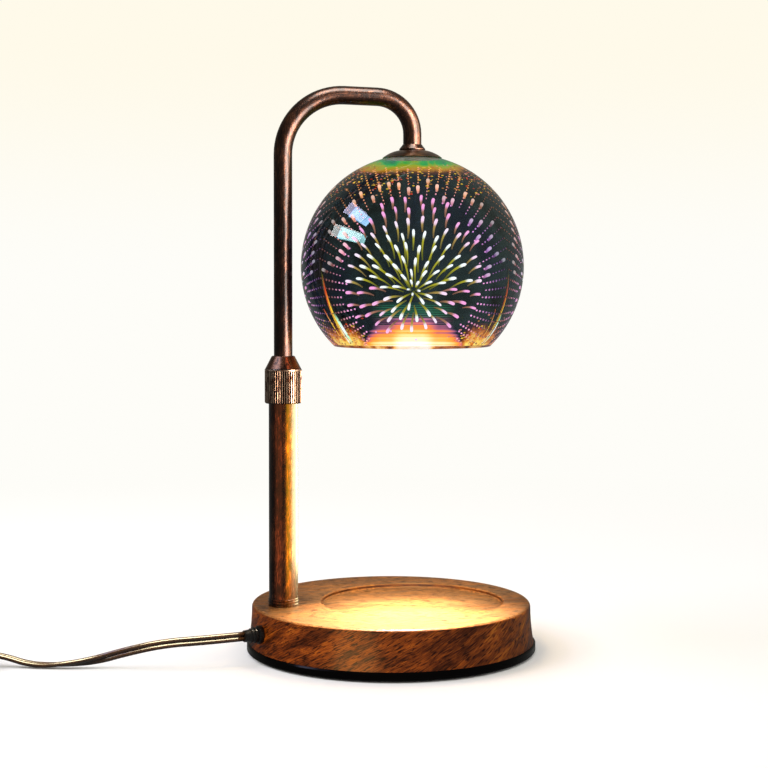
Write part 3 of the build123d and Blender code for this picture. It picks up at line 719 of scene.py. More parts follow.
mirror = {
    "cast": [(0.3, "#22302c"), (0.45, "#496468"), (0.6, "#33465c"), (0.75, "#4c3b3a")],
    "strength": 1.25,  # of all that the lamp makes it give off
    # heights in mm above the globe's middle
    "domeFoot": -39.2,
    "domeTop": (-38.5, -26.0),  # between two bursts, and in front of one
    "dome": [
        (0.0, "#fffaf0"),
        (0.24, "#ffe49c"),
        (0.44, "#ffae3c"),
        (0.64, "#ee7a3a"),
        (0.78, "#b05870"),
        (0.90, "#4e2e50"),
        (1.0, "#000000"),
    ],
    "lineZone": (-28.5, -25.0, -20.0, -16.5),  # the lines fade in from the first two and out at the last two
    "linePitch": 1.05,
    "lines": [(0.2, "#8a4a70"), (0.6, "#1f6a4a")],
    "lineTint": (-28, -20),  # from mauve to green
    "ringFrom": (36.0, 49.0),
    "ring": [
        (0.40, "#000000"),
        (0.52, "#4a2208"),
        (0.63, "#a8740e"),
        (0.76, "#8c9a18"),
        (0.86, "#189a44"),
        (1.0, "#0a5a4c"),
    ],
    "embersFrom": (-20.0, -37.0),
    "embers": [(0.52, "#000000"), (0.62, "#6a1c08"), (0.74, "#d8781c"), (0.86, "#f8d868")],
}


def halfMirrorGlass():
    # glass metallised in a vacuum: a dark half-mirror, teal to navy, tinted by the lamp in bands of colour
    material, tree, shader = newMaterial(
        "halfMirrorGlass", Metallic=0.9, Roughness=0.0, SpecularTint="#5a6a70"
    )
    spot = addNode(tree, "SeparateXYZ", place(tree, origin=globeCentre)).outputs
    height = addNode(tree, "Math", spot["Z"], 1 / mm, **times)  # mm above the globe's middle
    wave = azimuthWave(tree, spot)

    around = place(tree, stretch=(1, 1, 1.6))
    cast = addNode(tree, "TexNoise", around, Scale=feature(30), Detail=3, Roughness=0.5, Distortion=0.6)
    fill(shader, BaseColor=addNode(tree, "ValToRGB", cast, stops=mirror["cast"]))

    # the lamp's glow, a wide low dome of light above the rim in front of each burst
    domeTop = addNode(tree, "MapRange", wave, -1.0, 0.55, *mirror["domeTop"], **eased)
    above = addNode(tree, "MapRange", height, mirror["domeFoot"], domeTop, clamp=False)
    ripple = addNode(tree, "TexNoise", W=height, Scale=0.9, Detail=3, noise_dimensions="1D")
    ripple = addNode(tree, "MapRange", ripple, 0.3, 0.7, -0.1, 0.1, **eased)
    above = addNode(tree, "Math", above, ripple, **plus)
    facing = addNode(tree, "MapRange", wave, 0.6, 0.98, -0.06, 0.2, **eased)
    above = addNode(tree, "Math", above, facing, **minus)
    glow = addNode(tree, "ValToRGB", above, stops=mirror["dome"])

    # thin green and mauve interference lines above the glow
    lines = addNode(tree, "Math", height, 2 * math.pi / mirror["linePitch"], **times)
    lines = addNode(tree, "Math", lines, operation="SINE")
    fadeIn, fadeOut = mirror["lineZone"][:2], mirror["lineZone"][:1:-1]
    zone = addNode(tree, "MapRange", height, *fadeIn, **eased)
    for limit in (
        addNode(tree, "MapRange", height, *fadeOut, **eased),
        addNode(tree, "MapRange", wave, 0.1, 0.8, **eased),
        addNode(tree, "MapRange", lines, -0.4, 1.0, 0.2, 1.0, **eased),
    ):
        zone = addNode(tree, "Math", zone, limit, **times)
    share = addNode(tree, "MapRange", height, *mirror["lineTint"], **eased)
    tint = addNode(tree, "ValToRGB", share, stops=mirror["lines"])
    glow = addNode(tree, "MixRGB", addNode(tree, "Math", zone, 0.8, **times), glow, tint, blend_type="ADD")

    # a coloured ring round the top hole, where the metal film is thinnest, painted as light added to the glow
    around = place(tree, stretch=(1.8, 1.8, 1))
    swirl = addNode(tree, "TexNoise", around, Scale=feature(12), Detail=4, Roughness=0.6, Distortion=1.4)
    swirl = addNode(tree, "Math", addNode(tree, "Math", swirl, 0.8, **times), 0.48, **plus)
    nearHole = addNode(tree, "MapRange", height, *mirror["ringFrom"], **eased)
    ringTone = addNode(tree, "Math", nearHole, swirl, **times)
    ringColour = addNode(tree, "ValToRGB", ringTone, stops=mirror["ring"])
    glow = addNode(tree, "MixRGB", 1.0, glow, ringColour, blend_type="ADD")

    # between two bursts the lamp's light breaks up into embers above the rim
    around = place(tree, stretch=(1, 1, 1.8))
    embers = addNode(tree, "TexNoise", around, Scale=feature(4.5), Detail=5, Roughness=0.65, Distortion=0.8)
    low = addNode(tree, "MapRange", height, *mirror["embersFrom"], **eased)
    low = addNode(tree, "Math", low, addNode(tree, "MapRange", wave, 0.0, -0.8, **eased), **times)
    tone = weighed(tree, (low, 0.48), (embers, 0.7))
    emberColour = addNode(tree, "ValToRGB", tone, stops=mirror["embers"])
    glow = addNode(tree, "MixRGB", low, glow, emberColour, blend_type="ADD")
    fill(shader, EmissionColor=glow, EmissionStrength=mirror["strength"])
    return material


def litFilm():
    # the film's cut lines, lit from behind, and the painted reflections drawn with them: each mesh point
    # carries its own colour
    material, tree, shader = newMaterial("litFilm", BaseColor="#050505", Roughness=0.4, EmissionStrength=1.2)
    fill(shader, EmissionColor=addNode(tree, "Attribute", attribute_name="glow"))
    return material


def amberRim():
    # glass ring that closes the two walls, amber where the lamp shines into its edge
    material, tree, shader = newMaterial(
        "amberRim", BaseColor="#6a3410", Roughness=0.25, CoatWeight=0.5, EmissionStrength=1.0
    )
    spot = addNode(tree, "SeparateXYZ", place(tree, origin=globeCentre)).outputs
    hot = addNode(tree, "MapRange", azimuthWave(tree, spot), 0.6, 0.98, 0.0, 0.5, **eased)
    patches = addNode(tree, "TexNoise", place(tree), Scale=feature(6), Detail=4, Roughness=0.55)
    tone = addNode(tree, "Math", patches, hot, **plus)
    stops = [(0.35, "#3c1606"), (0.5, "#b4601c"), (0.64, "#ffc66a"), (0.95, "#fffaf0")]
    fill(shader, EmissionColor=addNode(tree, "ValToRGB", tone, stops=stops))
    return material


def burstAxes(number):
    # outwards, to the right and upwards at the middle of one burst
    across = math.asin(burst["drop"] / burst["surface"])
    turn = math.radians(burst["facing"] + 360 / burst["bursts"] * number)
    out = Vector((math.cos(turn) * math.cos(across), math.sin(turn) * math.cos(across), -math.sin(across)))
    right = Vector((-math.sin(turn), math.cos(turn), 0))
    return out, right, out.cross(right)


def onGlobe(axes, x, y, radius):
    # x to the right and y up from the burst's middle, in mm along the glass
    out, right, up = axes
    distance = math.hypot(x, y)
    arc = distance / burst["surface"]
    spoke = (right * x + up * y) / max(distance, 1e-6)
    return globeCentre + (out * math.cos(arc) + spoke * math.sin(arc)) * radius


def aroundGlobe(radius, turn, z):
    # a spot that many radians round the globe and z mm above its middle
    r = math.sqrt(radius**2 - z**2)
    return globeCentre + Vector((r * math.cos(turn), r * math.sin(turn), z))


def turnFrom(axes, spot):
    # degrees round the globe between the spot and the burst's middle
    flat = Vector((spot.x - globeCentre.x, spot.y))
    return abs(math.degrees(flat.angle(Vector((axes[0].x, axes[0].y)))))


def inSector(axes, spot, limit=60.0):
    # whether the spot is on this burst's share of the globe, clear of the rim and the cap
    low, high = burst["heights"]
    return turnFrom(axes, spot) < limit and low < spot.z < high


def addRod(made, spots, radii, tints, sides=8, flat=0.6):
    # a thin tube with pointed ends through the spots, flattened towards the globe
    points, faces, colours = made
    base, count = len(points), len(spots)
    for i, (spot, radius, tint) in enumerate(zip(spots, radii, tints)):
        along = (spots[min(i + 1, count - 1)] - spots[max(i - 1, 0)]).normalized()
        out = (spot - globeCentre).normalized()
        side = along.cross(out).normalized()
        for k in range(sides):
            a = 2 * math.pi * k / sides
            points.append((spot + (side * math.cos(a) + out * math.sin(a) * flat) * radius) * mm)
            colours.append(tint)
    faces += ringFaces(count, sides, first=base)
    for end, inside, sign in ((0, 1, 1), (count - 1, count - 2, -1)):
        tip = spots[end] + (spots[end] - spots[inside]).normalized() * radii[end] * 0.5
        points.append(tip * mm)
        colours.append(tints[end])
        ring = base + end * sides
        for k in range(sides):
            faces.append((ring + k, ring + (k + 1) % sides, len(points) - 1)[::sign])


def sparkPath(x, y, length, steps):
    # inwards from a head at x, y, hanging like a thrown thing's path, steeper the nearer to the middle
    side = math.copysign(1, x) * min(1.0, abs(x) / max(math.hypot(x, y), 1e-6)) ** 0.35
    path = [(x, y, 0.0)]
    for i in range(1, steps + 1):
        off = burst["sag"][0] + (burst["sag"][1] - burst["sag"][0]) * (i - 0.5) / steps
        angle = math.atan2(y, x) + math.radians(off) * side
        x -= math.cos(angle) * length / steps
        y -= math.sin(angle) * length / steps
        path.append((x, y, length * i / steps))
    return path


def headProfile(back, length):
    # thickness along a spark: a round-ended head about three times as long as wide, then a thin tail
    head = 0.62 + 0.38 * smooth(0, 0.5, back)
    return head - 0.3 * smooth(2.0, 4.4, back) - 0.24 * smooth(4.6, length, back)


def sparkReach(x, y):
    up, aside, down = burst["reach"]
    lift = y / max(math.hypot(x, y), 1e-6)
    return aside + ((up if lift > 0 else down) - aside) * lift**2


def addSpark(made, axes, x, y, length, size, tints, steps=14):
    # tints are the head's colour and the tail's at its start and end; a short spark is squeezed from 5 mm
    spots, radii, colours = [], [], []
    for px, py, back in sparkPath(x, y, length, steps):
        depth = burst["film"] + 0.9 - 0.6 * smooth(2, length, back)
        spots.append(onGlobe(axes, px, py, depth))
        radii.append(size * headProfile(back * max(1.0, 5 / length), max(length, 5)))
        tail = blendOf(tints[1], tints[2], smooth(3, length, back))
        colours.append(blendOf(tints[0], tail, smooth(2.2, 4.6, back * max(1.0, 6 / length))))
    addRod(made, spots, radii, colours)


def sparkTints(distance, y):
    # white heads on lime tails near the middle, pink on rust further out
    pinkness = smooth(29, 44, distance) if y > 0 else smooth(9, 22, distance + 0.4 * y)
    dimRust = blendOf(glowColours["rust"], glowColours["black"], 0.6)
    return (
        blendOf(glowColours["white"], glowColours["pink"], pinkness),
        blendOf(glowColours["lime"], glowColours["rust"], pinkness),
        blendOf(glowColours["olive"], dimRust, pinkness),
    )


def sparks():
    # each head is a cut in the film, lit from behind; its tail is painted reflection, the head mirrored again
    # and again between the two walls
    made = [], [], []
    draw = random.Random(7)
    for number in range(burst["bursts"]):
        axes = burstAxes(number)
        for ring, heads in burst["rings"]:
            offset = draw.uniform(0, 360)
            for head in range(heads):
                angle = math.radians(offset + 360 / heads * (head + draw.uniform(-0.16, 0.16)))
                distance = ring + draw.uniform(-burst["scatter"], burst["scatter"])
                x, y = distance * math.cos(angle), distance * math.sin(angle)
                if distance > sparkReach(x, y) or not inSector(axes, onGlobe(axes, x, y, burst["surface"])):
                    continue
                reach = burst["tail"] * (1 - 0.4 * smooth(26, 44, distance)) * (0.72 if y < 0 else 1.0)
                length = min(reach * draw.uniform(0.8, 1.15), distance - 1.0)
                size = burst["headRadius"] * draw.uniform(0.72, 1.0) * (0.7 + 0.3 * smooth(2, 14, distance))
                addSpark(made, axes, x, y, length, size, sparkTints(distance, y))
    return made


def dotTint(x, y, draw, turn):
    # turn is the degrees round the globe from the burst's middle; rows fade out before the next burst's
    distance = math.hypot(x, y)
    upward = smooth(0.2, 0.9, y / distance) * smooth(42, 66, distance)
    downward = smooth(-0.3, -0.9, y / distance) * smooth(34, 44, distance)
    tint = blendOf(glowColours["salmon"], glowColours["purple"], 0.85 * smooth(-0.3, 0.7, x / distance))
    tint = blendOf(glowColours["pink"], tint, smooth(36, 50, distance))
    tint = blendOf(tint, glowColours["orange"], upward)
    tint = blendOf(tint, glowColours["orange"], downward)
    dim = draw.uniform(0.75, 1.3) * (1 - 0.85 * smooth(38, 58, turn))
    return [c * dim for c in tint[:3]] + [1.0]


def dots():
    # rows of separate cuts outside the sparks, headed upwards by a longer cut, but not sideways
    made = [], [], []
    draw = random.Random(11)
    glowTop, glowSide = burst["glow"]
    for number in range(burst["bursts"]):
        axes = burstAxes(number)
        for arm in range(burst["dotArms"]):
            angle = math.radians(360 / burst["dotArms"] * arm)
            across, climb = math.cos(angle), math.sin(angle)
            distance = sparkReach(across, climb) + draw.uniform(-4, 2)
            countdown = draw.randint(2, 6)
            while distance < burst["dotsUntil"]:
                x, y = distance * across, distance * climb
                spot = onGlobe(axes, x, y, burst["surface"])
                turn = turnFrom(axes, spot)
                if countdown == 0 and climb > 0.1 and distance < burst["cutsUntil"]:
                    if inSector(axes, spot):
                        tint = dotTint(x, y, draw, turn)
                        bright = blendOf(tint, glowColours["white"], 0.25)
                        fade = blendOf(tint, glowColours["black"], 0.5)
                        addSpark(made, axes, x, y, 4.6, 0.8, (bright, tint, fade), 8)
                    countdown = draw.randint(4, 6)
                    distance += 2.6
                    continue
                size = 0.52 - 0.05 * countdown + 0.1 * (climb < 0.1)
                inGlow = spot.z < glowTop and turn < glowSide
                if inSector(axes, spot, 59.8) and not (inGlow and draw.random() < 0.8):
                    steps = [(x + step * across, y + step * climb) for step in (-0.4, 0.0, 0.4)]
                    spots = [onGlobe(axes, *step, burst["film"] + 0.45) for step in steps]
                    addRod(made, spots, [size * 0.7, size, size * 0.7], [dotTint(x, y, draw, turn)] * 3, 6)
                countdown = max(0, countdown - 1) if climb > 0.1 else draw.randint(1, 4)
                distance += burst["dotStep"] * draw.uniform(0.92, 1.08)
    return made


def flecks():
    # loose specks of gold and orange that crowd below the cap and above the rim
    made = [], [], []
    draw = random.Random(23)
    shades = [glowColours[name] for name in ("orange", "gold", "red", "salmon")]
    zones = [(520, (-38, -22, -35)), (620, (30, 47.5, 43))]  # how many, and mm above the globe's middle
    for zone, (count, heights) in enumerate(zones):
        for _ in range(count):
            turn = draw.uniform(0, 2 * math.pi)
            z = draw.triangular(*heights)
            facing = math.cos(burst["bursts"] * (turn - math.radians(burst["facing"])))
            if zone == 0 and facing > draw.uniform(-0.9, 0.3):
                continue  # the glow has few in front of it
            spot = aroundGlobe(burst["film"] + 0.4, turn, z)
            size = draw.uniform(0.2, 0.48)
            reach = Vector((-math.sin(turn), math.cos(turn), 0)) * size * draw.uniform(0.8, 1.8)
            dim = draw.uniform(0.35, 1.0)
            tint = [c * dim for c in draw.choice(shades)[:3]] + [1.0]
            addRod(made, [spot - reach, spot, spot + reach], [size * 0.6, size, size * 0.6], [tint] * 3, 6)
    return made


# painted reflections: thin bright lines where two bursts meet
paintedSeamReflections = [
    # degrees from the seam, from and to mm above the middle, thickness, colours from the top down
    (1.2, 2, -36, 0.30, ("black", "olive", "red", "gold", "gold")),
    (2.6, -4, -36, 0.55, ("olive", "red", "gold", "gold", "white")),
    (5.4, -22, -37, 1.0, ("olive", "mint", "white", "mint", "gold")),
    (-3.5, -20, -37.5, 0.35, ("red", "orange", "gold", "orange", "gold")),
]


def paintedEdgeReflections():
    # where two bursts meet, thin bright lines run down to the rim: painted reflections of the lamp's light in
    # the glass, drawn as lit rods
    made = [], [], []
    steps = 26
    for number in range(burst["bursts"]):
        seam = burst["facing"] + 360 / burst["bursts"] * (number + 0.5)
        fineness = 0.5 if number == 0 else 1.0  # the seam on the right is the finer one
        for offset, top, bottom, thick, names in paintedSeamReflections:
            spots, radii, tints = [], [], []
            for step in range(steps + 1):
                share = step / steps
                turn = math.radians(seam + offset + 2.0 * math.sin(2.2 * share))
                spots.append(aroundGlobe(burst["film"] + 0.4, turn, top + (bottom - top) * share))
                swell = math.sin(math.pi * min(1.0, 0.08 + share * 0.84)) ** 0.7
                radii.append(thick * fineness * (0.25 + 0.75 * swell))
                part = share * (len(names) - 1)
                low = min(int(part), len(names) - 2)
                tints.append(blendOf(glowColours[names[low]], glowColours[names[low + 1]], part - low))
            addRod(made, spots, radii, tints, 6)
    return made


def litPiece(name, made, material):
    points, faces, colours = made
    piece = makePiece(name, points, faces, "arm", "dark_mirror_glass", material)
    layer = piece.data.color_attributes.new("glow", "FLOAT_COLOR", "POINT")
    layer.data.foreach_set("color", [c for colour in colours for c in colour])
    print(" ", name, len(faces), "faces")


def makeShade():
    outer = turned(clearOutline(), lamp["shadeX"])
    inner = turned(innerOutline(), lamp["shadeX"])
    mirror = halfMirrorGlass()
    outerGlass = makePiece("globe_outer_wall", *outer, "arm", "clear_glass", clearGlass(), mirror)
    skin = (burst["film"] + 0.3) * mm
    for face in outerGlass.data.polygons:  # the glass is metallised where it meets the inner wall
        face.material_index = int((face.center - globeCentre * mm).length < skin)
    innerGlass = makePiece("globe_inner_wall", *inner, "arm", "dark_mirror_glass", mirror)
    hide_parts("shade_outer_glass")
    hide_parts("shade_inner_glass")
    film = litFilm()
    litPiece("burst_sparks", sparks(), film)
    litPiece("burst_dots", dots(), film)
    litPiece("glass_flecks", flecks(), film)
    litPiece("edge_lines", paintedEdgeReflections(), film)
    dress(amberRim(), "shade_rim")


makeShade()
print("shade made")


bulb = {
    "lens": "#ffd9a0",
    "filament": "#ffe2b8",
    "lensStrength": 14.0,
    "beam": "#fff2e0",
    "beamWatts": 30.0,
    "beamAngle": 56,
    "beamRadius": 18,  # mm, of the reflector, which softens the shadows
    "beamAim": (-3, -54, 24),  # the bulb sits a little askew, so the front of the base gets the most
    "beamLights": ("wood_base", "base_plate", "lower_tube", "foot_collar", "cord_gland"),
}


def glazedCeramic():
    # steatite, pressed and glazed: off-white, glassy, with a few grey specks in the clay
    material, tree, shader = newMaterial("glazedCeramic", Roughness=0.18, CoatWeight=0.5, CoatRoughness=0.05)
    specks = addNode(tree, "TexNoise", place(tree), Scale=feature(0.7), Detail=2, Roughness=0.55)
    specks = addNode(tree, "MapRange", specks, 0.68, 0.74, **eased)
    fill(shader, BaseColor=addNode(tree, "MixRGB", specks, "#e4dfd2", "#a39c8c"))
    fill(shader, Normal=fineRelief(tree, 4, 2, 0.05, 0.4))
    return material


def aluminisedReflector():
    # pressed glass with aluminium evaporated inside: bright, with small facets that spread the light
    material, tree, shader = newMaterial(
        "aluminisedReflector", BaseColor="#d9dadb", Metallic=1.0, Roughness=0.12
    )
    facets = addNode(tree, "TexVoronoi", place(tree), Scale=feature(3.0))
    fill(shader, Normal=addNode(tree, "Bump", Height=facets, Distance=0.5 * mm, Strength=0.6))
    return material


def litBulbGlass():
    # the bulb's pressed front glass, lit: brightest in the middle, with the moulded beads as a faint pattern
    material, tree, shader = newMaterial(
        "litBulbGlass", BaseColor="#fff6e6", Roughness=0.2, EmissionStrength=bulb["lensStrength"]
    )
    beads = addNode(tree, "TexVoronoi", place(tree), Scale=feature(3.2))
    beads = addNode(tree, "MapRange", beads, 0.0, 0.6, **eased)
    fill(shader, EmissionColor=addNode(tree, "MixRGB", beads, bulb["filament"], bulb["lens"]))
    return material


def nickelPlate():
    # nickel plated brass pins: warm grey and bright, fine turning marks round them
    material, tree, shader = newMaterial("nickelPlate", BaseColor="#b9b2a6", Metallic=1.0, Roughness=0.22)
    fill(shader, Normal=fineRelief(tree, 0.3, 2, 0.02, 0.5, stretch=(8, 8, 1)))
    return material


dress(glazedCeramic(), "lampholder", "bulb_base")
dress(aluminisedReflector(), "bulb_reflector")
dress(litBulbGlass(), "bulb_lens", "bulb_capsule")
dress(nickelPlate(), "bulb_pins")


def lightOnly(light, name, parts):
    # the light reaches only these nodes and pieces
    flagged = bpy.data.collections.new(name)
    for part in parts:
        flagged.objects.link(nodes.get(part) or bpy.data.objects[part])
    light.light_linking.receiver_collection = flagged


def makeBeam():
    # the narrow beam that the reflector throws down on the candle's place
    data = bpy.data.lights.new("bulbBeam", "SPOT")
    data.energy = bulb["beamWatts"]
    data.color = linear(bulb["beam"])[:3]
    data.spot_size = math.radians(bulb["beamAngle"])
    data.spot_blend = 1.0
    data.shadow_soft_size = bulb["beamRadius"] * mm
    beam = bpy.data.objects.new("bulbBeam", data)
    beam.location = Vector((lamp["shadeX"], 0, lamp["bulbFace"] - 2)) * mm
    beam.rotation_euler = (beam.location - Vector(bulb["beamAim"]) * mm).to_track_quat("Z", "Y").to_euler()
    scene.collection.objects.link(beam)
    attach(beam, "arm")
    lightOnly(beam, "beamParts", bulb["beamLights"])


makeBeam()
print("bulb finished")


def zincPlatedSteel():
    # steel, zinc plated: pale grey with a faint yellow-blue passivation and small crystals
    stops = [(0.35, "#8d9096"), (0.55, "#b3b1a8"), (0.7, "#c4bfa6")]
    material, tree, shader, _ = mottled("zincPlatedSteel", 3, 4, stops, Metallic=1.0, Roughness=0.35)
    fill(shader, Normal=fineRelief(tree, 0.4, 2, 0.02, 0.5))
    return material


def turnedBrass():
    # brass, turned on a lathe: yellow, with tool marks round it
    stops = [(0.3, "#a5813f"), (0.7, "#d3b26c")]
    material, tree, shader, marks = mottled(
        "turnedBrass", 0.35, 2, stops, stretch=(9, 9, 1), Metallic=1.0, Roughness=0.28
    )
    fill(shader, Normal=addNode(tree, "Bump", Height=marks, Distance=0.03 * mm, Strength=0.5))
    return material


def mouldedRubber():
    # nitrile rubber, moulded: dull black, matt and slightly dusty
    stops = [(0.35, "#121212"), (0.7, "#232221")]
    material, tree, shader, _ = mottled("mouldedRubber", 2.2, 4, stops, Roughness=0.8)
    fill(shader, Normal=fineRelief(tree, 0.35, 2, 0.03, 0.6))
    return material


def naturalNylon():
    # natural nylon, moulded: milky, waxy, light gets a little way in
    stops = [(0.35, "#cfc9b8"), (0.7, "#e2ddce")]
    waxy = {"SubsurfaceWeight": 0.2, "SubsurfaceScale": 0.001}
    return mottled("naturalNylon", 5, 3, stops, Roughness=0.45, **waxy)[0]


def clearSilicone():
    # silicone rubber, moulded: cloudy and soft looking
    stops = [(0.3, "#a8aaa8"), (0.7, "#c2c4c1")]
    cloudy = {"SubsurfaceWeight": 0.3, "SubsurfaceScale": 0.002}
    return mottled("clearSilicone", 4, 3, stops, Roughness=0.5, **cloudy)[0]


def sparkErodedPlastic(name, dark, pale, roughness):
    # ABS or nylon moulded in a spark-eroded tool: black, with an even fine texture that breaks up the shine
    material, tree, shader, _ = mottled(name, 6, 4, [(0.3, dark), (0.7, pale)])
    grit = addNode(tree, "TexNoise", place(tree), Scale=feature(0.45), Detail=2, Roughness=0.55)
    shine = addNode(tree, "MapRange", grit, 0.3, 0.7, roughness - 0.06, roughness + 0.1, **eased)
    relief = addNode(tree, "Bump", Height=grit, Distance=0.05 * mm, Strength=0.7)
    fill(shader, Roughness=shine, Normal=relief)
    return material


def circuitBoard():
    # glass-epoxy board: green lacquer over copper tracks, which show as a paler grid of lines
    material, tree, shader = newMaterial("circuitBoard", Roughness=0.35, CoatWeight=0.3)
    tracks = addNode(
        tree,
        "TexBrick",
        place(tree),
        Color1="#12451f",
        Color2="#0f3b1b",
        Mortar="#3f7a3a",
        Scale=feature(6),
        MortarSize=0.04,
    )
    fill(shader, BaseColor=tracks)
    return material


zinc = zincPlatedSteel()
dress(zinc, "plate_screws", "post_nipple", "post_washer", "post_nut", "snap_ring", "seat_washer")
dress(zinc, "shade_nut", "shade_nipple", "holder_bridge", "bridge_screws", "terminal_screws", "dimmer_screws")
dress(turnedBrass(), "tube_ferrule", "split_collet", "plug_blades")
dress(mouldedRubber(), *[f"rubber_foot_{number}" for number in (1, 2, 3, 4)], "cap_gasket", "seat_gasket")
dress(naturalNylon(), "guide_bush", "terminal_block")
dress(sparkErodedPlastic("blackNylonGland", "#0b0a0a", "#171514", 0.3), "cord_gland")
blackAbs = sparkErodedPlastic("blackAbs", "#111112", "#1c1c1d", 0.42)
dress(blackAbs, "dimmer_case_bottom", "dimmer_case_top", "plug_body")
satinAbs = sparkErodedPlastic("satinDialAbs", "#1a1a1c", "#2a2a2c", 0.34)
dress(satinAbs, "dimmer_dial", "dial_shaft", "dimmer_control")
dress(circuitBoard(), "dimmer_board")
dress(clearSilicone(), "glass_spacer")
dress(flexMaterial, "riser_lead", "arm_lead")


slackWire = {
    "coilRadius": 3.4,
    "wire": 0.9,  # mm, its radius
    "turns": 9,
    "bottom": 35.4,
    "top": 92.7,
    "pressedTo": 0.16,  # of its height, with the arm at its lowest
}


def makeSlackWire():
    # the lead is wound like a spring in the lower tube, so that it can follow the arm up and down
    steps, sides, r, wire = slackWire["turns"] * 24, 10, slackWire["coilRadius"], slackWire["wire"]
    low, high = slackWire["bottom"] + wire, slackWire["top"] - wire
    path = []
    for step in range(steps + 1):
        a = 2 * math.pi * slackWire["turns"] * step / steps
        x, y = lamp["postX"] + r * math.cos(a), r * math.sin(a)
        path.append(Vector((x, y, low + (high - low) * step / steps)) * mm)
    ring = [2 * math.pi * k / sides for k in range(sides)]
    outline = [(wire * mm * math.cos(a), wire * mm * math.sin(a)) for a in ring]
    points, faces = sweptAlong(path, outline, lambda i, along: Vector((0, 0, 1)))
    piece = makePiece("slack_wire", points, faces, "base", "inner_wire", flexMaterial)
    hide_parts("slack_lead")
    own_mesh(piece)


makeSlackWire()
print("small parts finished")


studio = {
    "cream": "#fffaea",  # the backdrop high up
    "paper": "#fefdf8",  # and at the horizon
    "floor": "#fdfcf8",
    "sky": "#fffdfa",  # the light that the backdrop gives
    "skyLight": 0.93,
    "mirrored": 0.22,  # the room is dark behind the camera, which keeps the metal and the glass dark
    "mirroredLeft": 0.12,
    "floorRings": (0.6, 1.4, 4.0),  # m
}


def mattPaper():
    # paper, sprayed matt: no shine, and it fades into the backdrop's own colour away from the lamp
    material, tree, shader = newMaterial(
        "mattPaper", BaseColor=studio["floor"], Roughness=1.0, SpecularIORLevel=0.0
    )
    distance = addNode(tree, "VectorMath", place(tree), operation="LENGTH").outputs["Value"]
    backdrop = addNode(tree, "Emission", studio["paper"], 1.0)
    seen = addNode(tree, "LightPath").outputs["Is Camera Ray"]
    fade = addNode(tree, "Math", addNode(tree, "MapRange", distance, 0.2, 0.8, **eased), seen, **times)
    fill(tree.nodes["Material Output"], Surface=addNode(tree, "MixShader", fade, shader, backdrop))
    return material


def makeFloor():
    steps, points = 96, [Vector((0, 0, 0))]
    for radius in studio["floorRings"]:
        for step in range(steps):
            a = 2 * math.pi * step / steps
            points.append(Vector((radius * math.cos(a), radius * math.sin(a), 0)))
    faces = [(0, 1 + k, 1 + (k + 1) % steps) for k in range(steps)]
    faces += [face[::-1] for face in ringFaces(len(studio["floorRings"]), steps, first=1)]
    data = bpy.data.meshes.new("floor")
    data.from_pydata(points, [], faces)
    data.materials.append(mattPaper())
    floor = bpy.data.objects.new("floor", data)
    scene.collection.objects.link(floor)
    # the glass and the metal mirror the dim room all round, with no horizon in them
    floor.visible_glossy = False
    floor.visible_transmission = False


def makeSky():
    # the camera sees a bright backdrop, the lamp's own pieces mirror a dim room, and both are lit softly
    world = bpy.data.worlds.new("studioSky")
    world.use_nodes = True
    scene.world = world
    tree = world.node_tree
    way = addNode(tree, "SeparateXYZ", addNode(tree, "TexCoord").outputs["Generated"]).outputs
    rays = addNode(tree, "LightPath").outputs
    high = addNode(tree, "MapRange", way["Z"], 0.0, 0.15, **eased)
    backdrop = addNode(tree, "MixRGB", high, studio["paper"], studio["cream"])
    diffuse = addNode(tree, "Math", rays["Diffuse Depth"], 0.5, operation="GREATER_THAN")
    bounces = addNode(tree, "Math", rays["Glossy Depth"], rays["Diffuse Depth"], **plus)
    direct = addNode(tree, "Math", bounces, 0.5, operation="LESS_THAN")
    through = addNode(tree, "Math", rays["Is Transmission Ray"], direct, **times)
    seen = addNode(tree, "Math", rays["Is Camera Ray"], through, operation="MAXIMUM")
    mirrored = addNode(
        tree, "MapRange", way["X"], -0.75, 0.1, studio["mirroredLeft"], studio["mirrored"], **eased
    )
    more = addNode(tree, "Math", studio["skyLight"], mirrored, **minus)
    lit = addNode(tree, "Math", mirrored, addNode(tree, "Math", diffuse, more, **times), **plus)
    rest = addNode(tree, "Math", 1.0, lit, **minus)
    strength = addNode(tree, "Math", lit, addNode(tree, "Math", seen, rest, **times), **plus)
    colour = addNode(tree, "MixRGB", diffuse, backdrop, studio["sky"])
    fill(tree.nodes["Background"], Color=colour, Strength=strength)


def softbox(name, towards, distance, size, radiance, colour, aim, parts):
    right, ahead = viewAxes()
    way = (right * towards[0] - ahead * towards[1] + Vector((0, 0, towards[2]))).normalized()
    data = bpy.data.lights.new(name, "AREA")
    data.shape = "RECTANGLE"
    data.size, data.size_y = size
    data.energy = radiance * math.pi * size[0] * size[1]
    data.color = linear(colour)[:3]
    box = bpy.data.objects.new(name, data)
    box.location = Vector(aim) * mm + way * distance
    box.rotation_euler = way.to_track_quat("Z", "Y").to_euler()
    box.visible_camera = False
    scene.collection.objects.link(box)
    lightOnly(box, name + "Parts", parts)


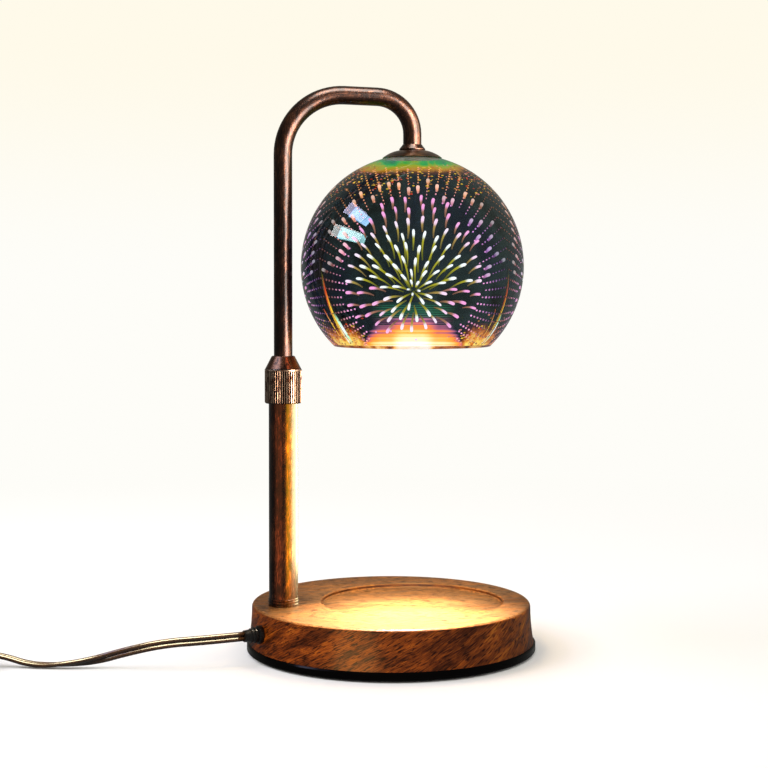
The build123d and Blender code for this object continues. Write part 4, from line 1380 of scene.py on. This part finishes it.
makeFloor()
makeSky()
post, tube = (lamp["postX"], 0, 160), (lamp["postX"], 0, 82)
windowParts = ("globe_outer_wall", "globe_inner_wall", "base_plate", "mains_flex", "floor")
armParts = ("arm_tube", "neck_collar", "shade_cap")
tubeParts = ("lower_tube", "foot_collar")
nutParts = ("clamp_nut",)
seatGlow = (lamp["shadeX"], 10, 42)  # low over the seat, where a burning candle glows in the lacquer
softboxes = [
    # name, (right, to the camera, up) that it stands towards, m away, size in m, radiance, colour,
    # aim in mm, and what it lights
    ("windowLeftLow", (-0.88, 0.17, 0.44), 1.15, (0.8, 0.18), 9.0, "#eef4f4", globeCentre, windowParts),
    ("windowLeftHigh", (-0.72, 0.08, 0.69), 1.15, (0.6, 0.18), 9.0, "#dcd8ff", globeCentre, windowParts),
    ("metalKey", (0.76, 0.64, 0.12), 1.1, (0.74, 1.0), 17.0, "#fff0e6", post, armParts),
    ("nutKey", (0.9, 0.43, 0.12), 1.1, (0.6, 0.8), 13.0, "#ffe0c8", post, nutParts),
    ("metalFill", (0.98, 0.17, 0.05), 0.9, (0.9, 0.9), 1.6, "#ffe6d4", post, nutParts + tubeParts),
    ("armFill", (0.96, 0.26, 0.05), 0.9, (0.9, 0.9), 8.0, "#ffdcc0", post, armParts),
    ("metalTop", (0.1, 0.35, 0.93), 0.8, (0.5, 0.5), 17.0, "#fff0e4", (-20, 0, 280), armParts),
    ("coneGlint", (-0.62, 0.3, 0.95), 0.6, (0.5, 0.3), 6.0, "#d0d8f8", post, nutParts),
    ("coneWarm", (0.75, 0.45, 0.6), 0.6, (0.4, 0.3), 8.0, "#ff9058", post, nutParts),
    ("warmBand", (0.77, 0.64, -0.06), 0.12, (0.10, 0.12), 13.0, "#ffb40a", tube, tubeParts),
    ("warmLeft", (-0.55, 0.83, 0.0), 0.5, (0.5, 0.4), 1.5, "#ff9a5c", tube, tubeParts),
    ("paleEdge", (0.94, -0.34, -0.06), 0.12, (0.18, 0.12), 22.0, "#fff0b4", tube, tubeParts),
    ("woodFront", (-0.45, 0.88, 0.12), 0.7, (0.4, 0.4), 11.0, "#ffcc80", (0, 0, 15), ("wood_base",)),
    ("cordTop", (0.1, 0.3, 0.95), 0.5, (0.6, 0.26), 48.0, "#fff0c4", (-120, 0, 12), ("mains_flex",)),
    ("candleGlow", (0.0, 1.0, 0.0), 0.012, (0.076, 0.03), 18.0, "#fff8ea", seatGlow, ("wood_base",)),
]
for row in softboxes:
    softbox(*row)
scene.view_settings.view_transform = "Standard"
print("studio made")
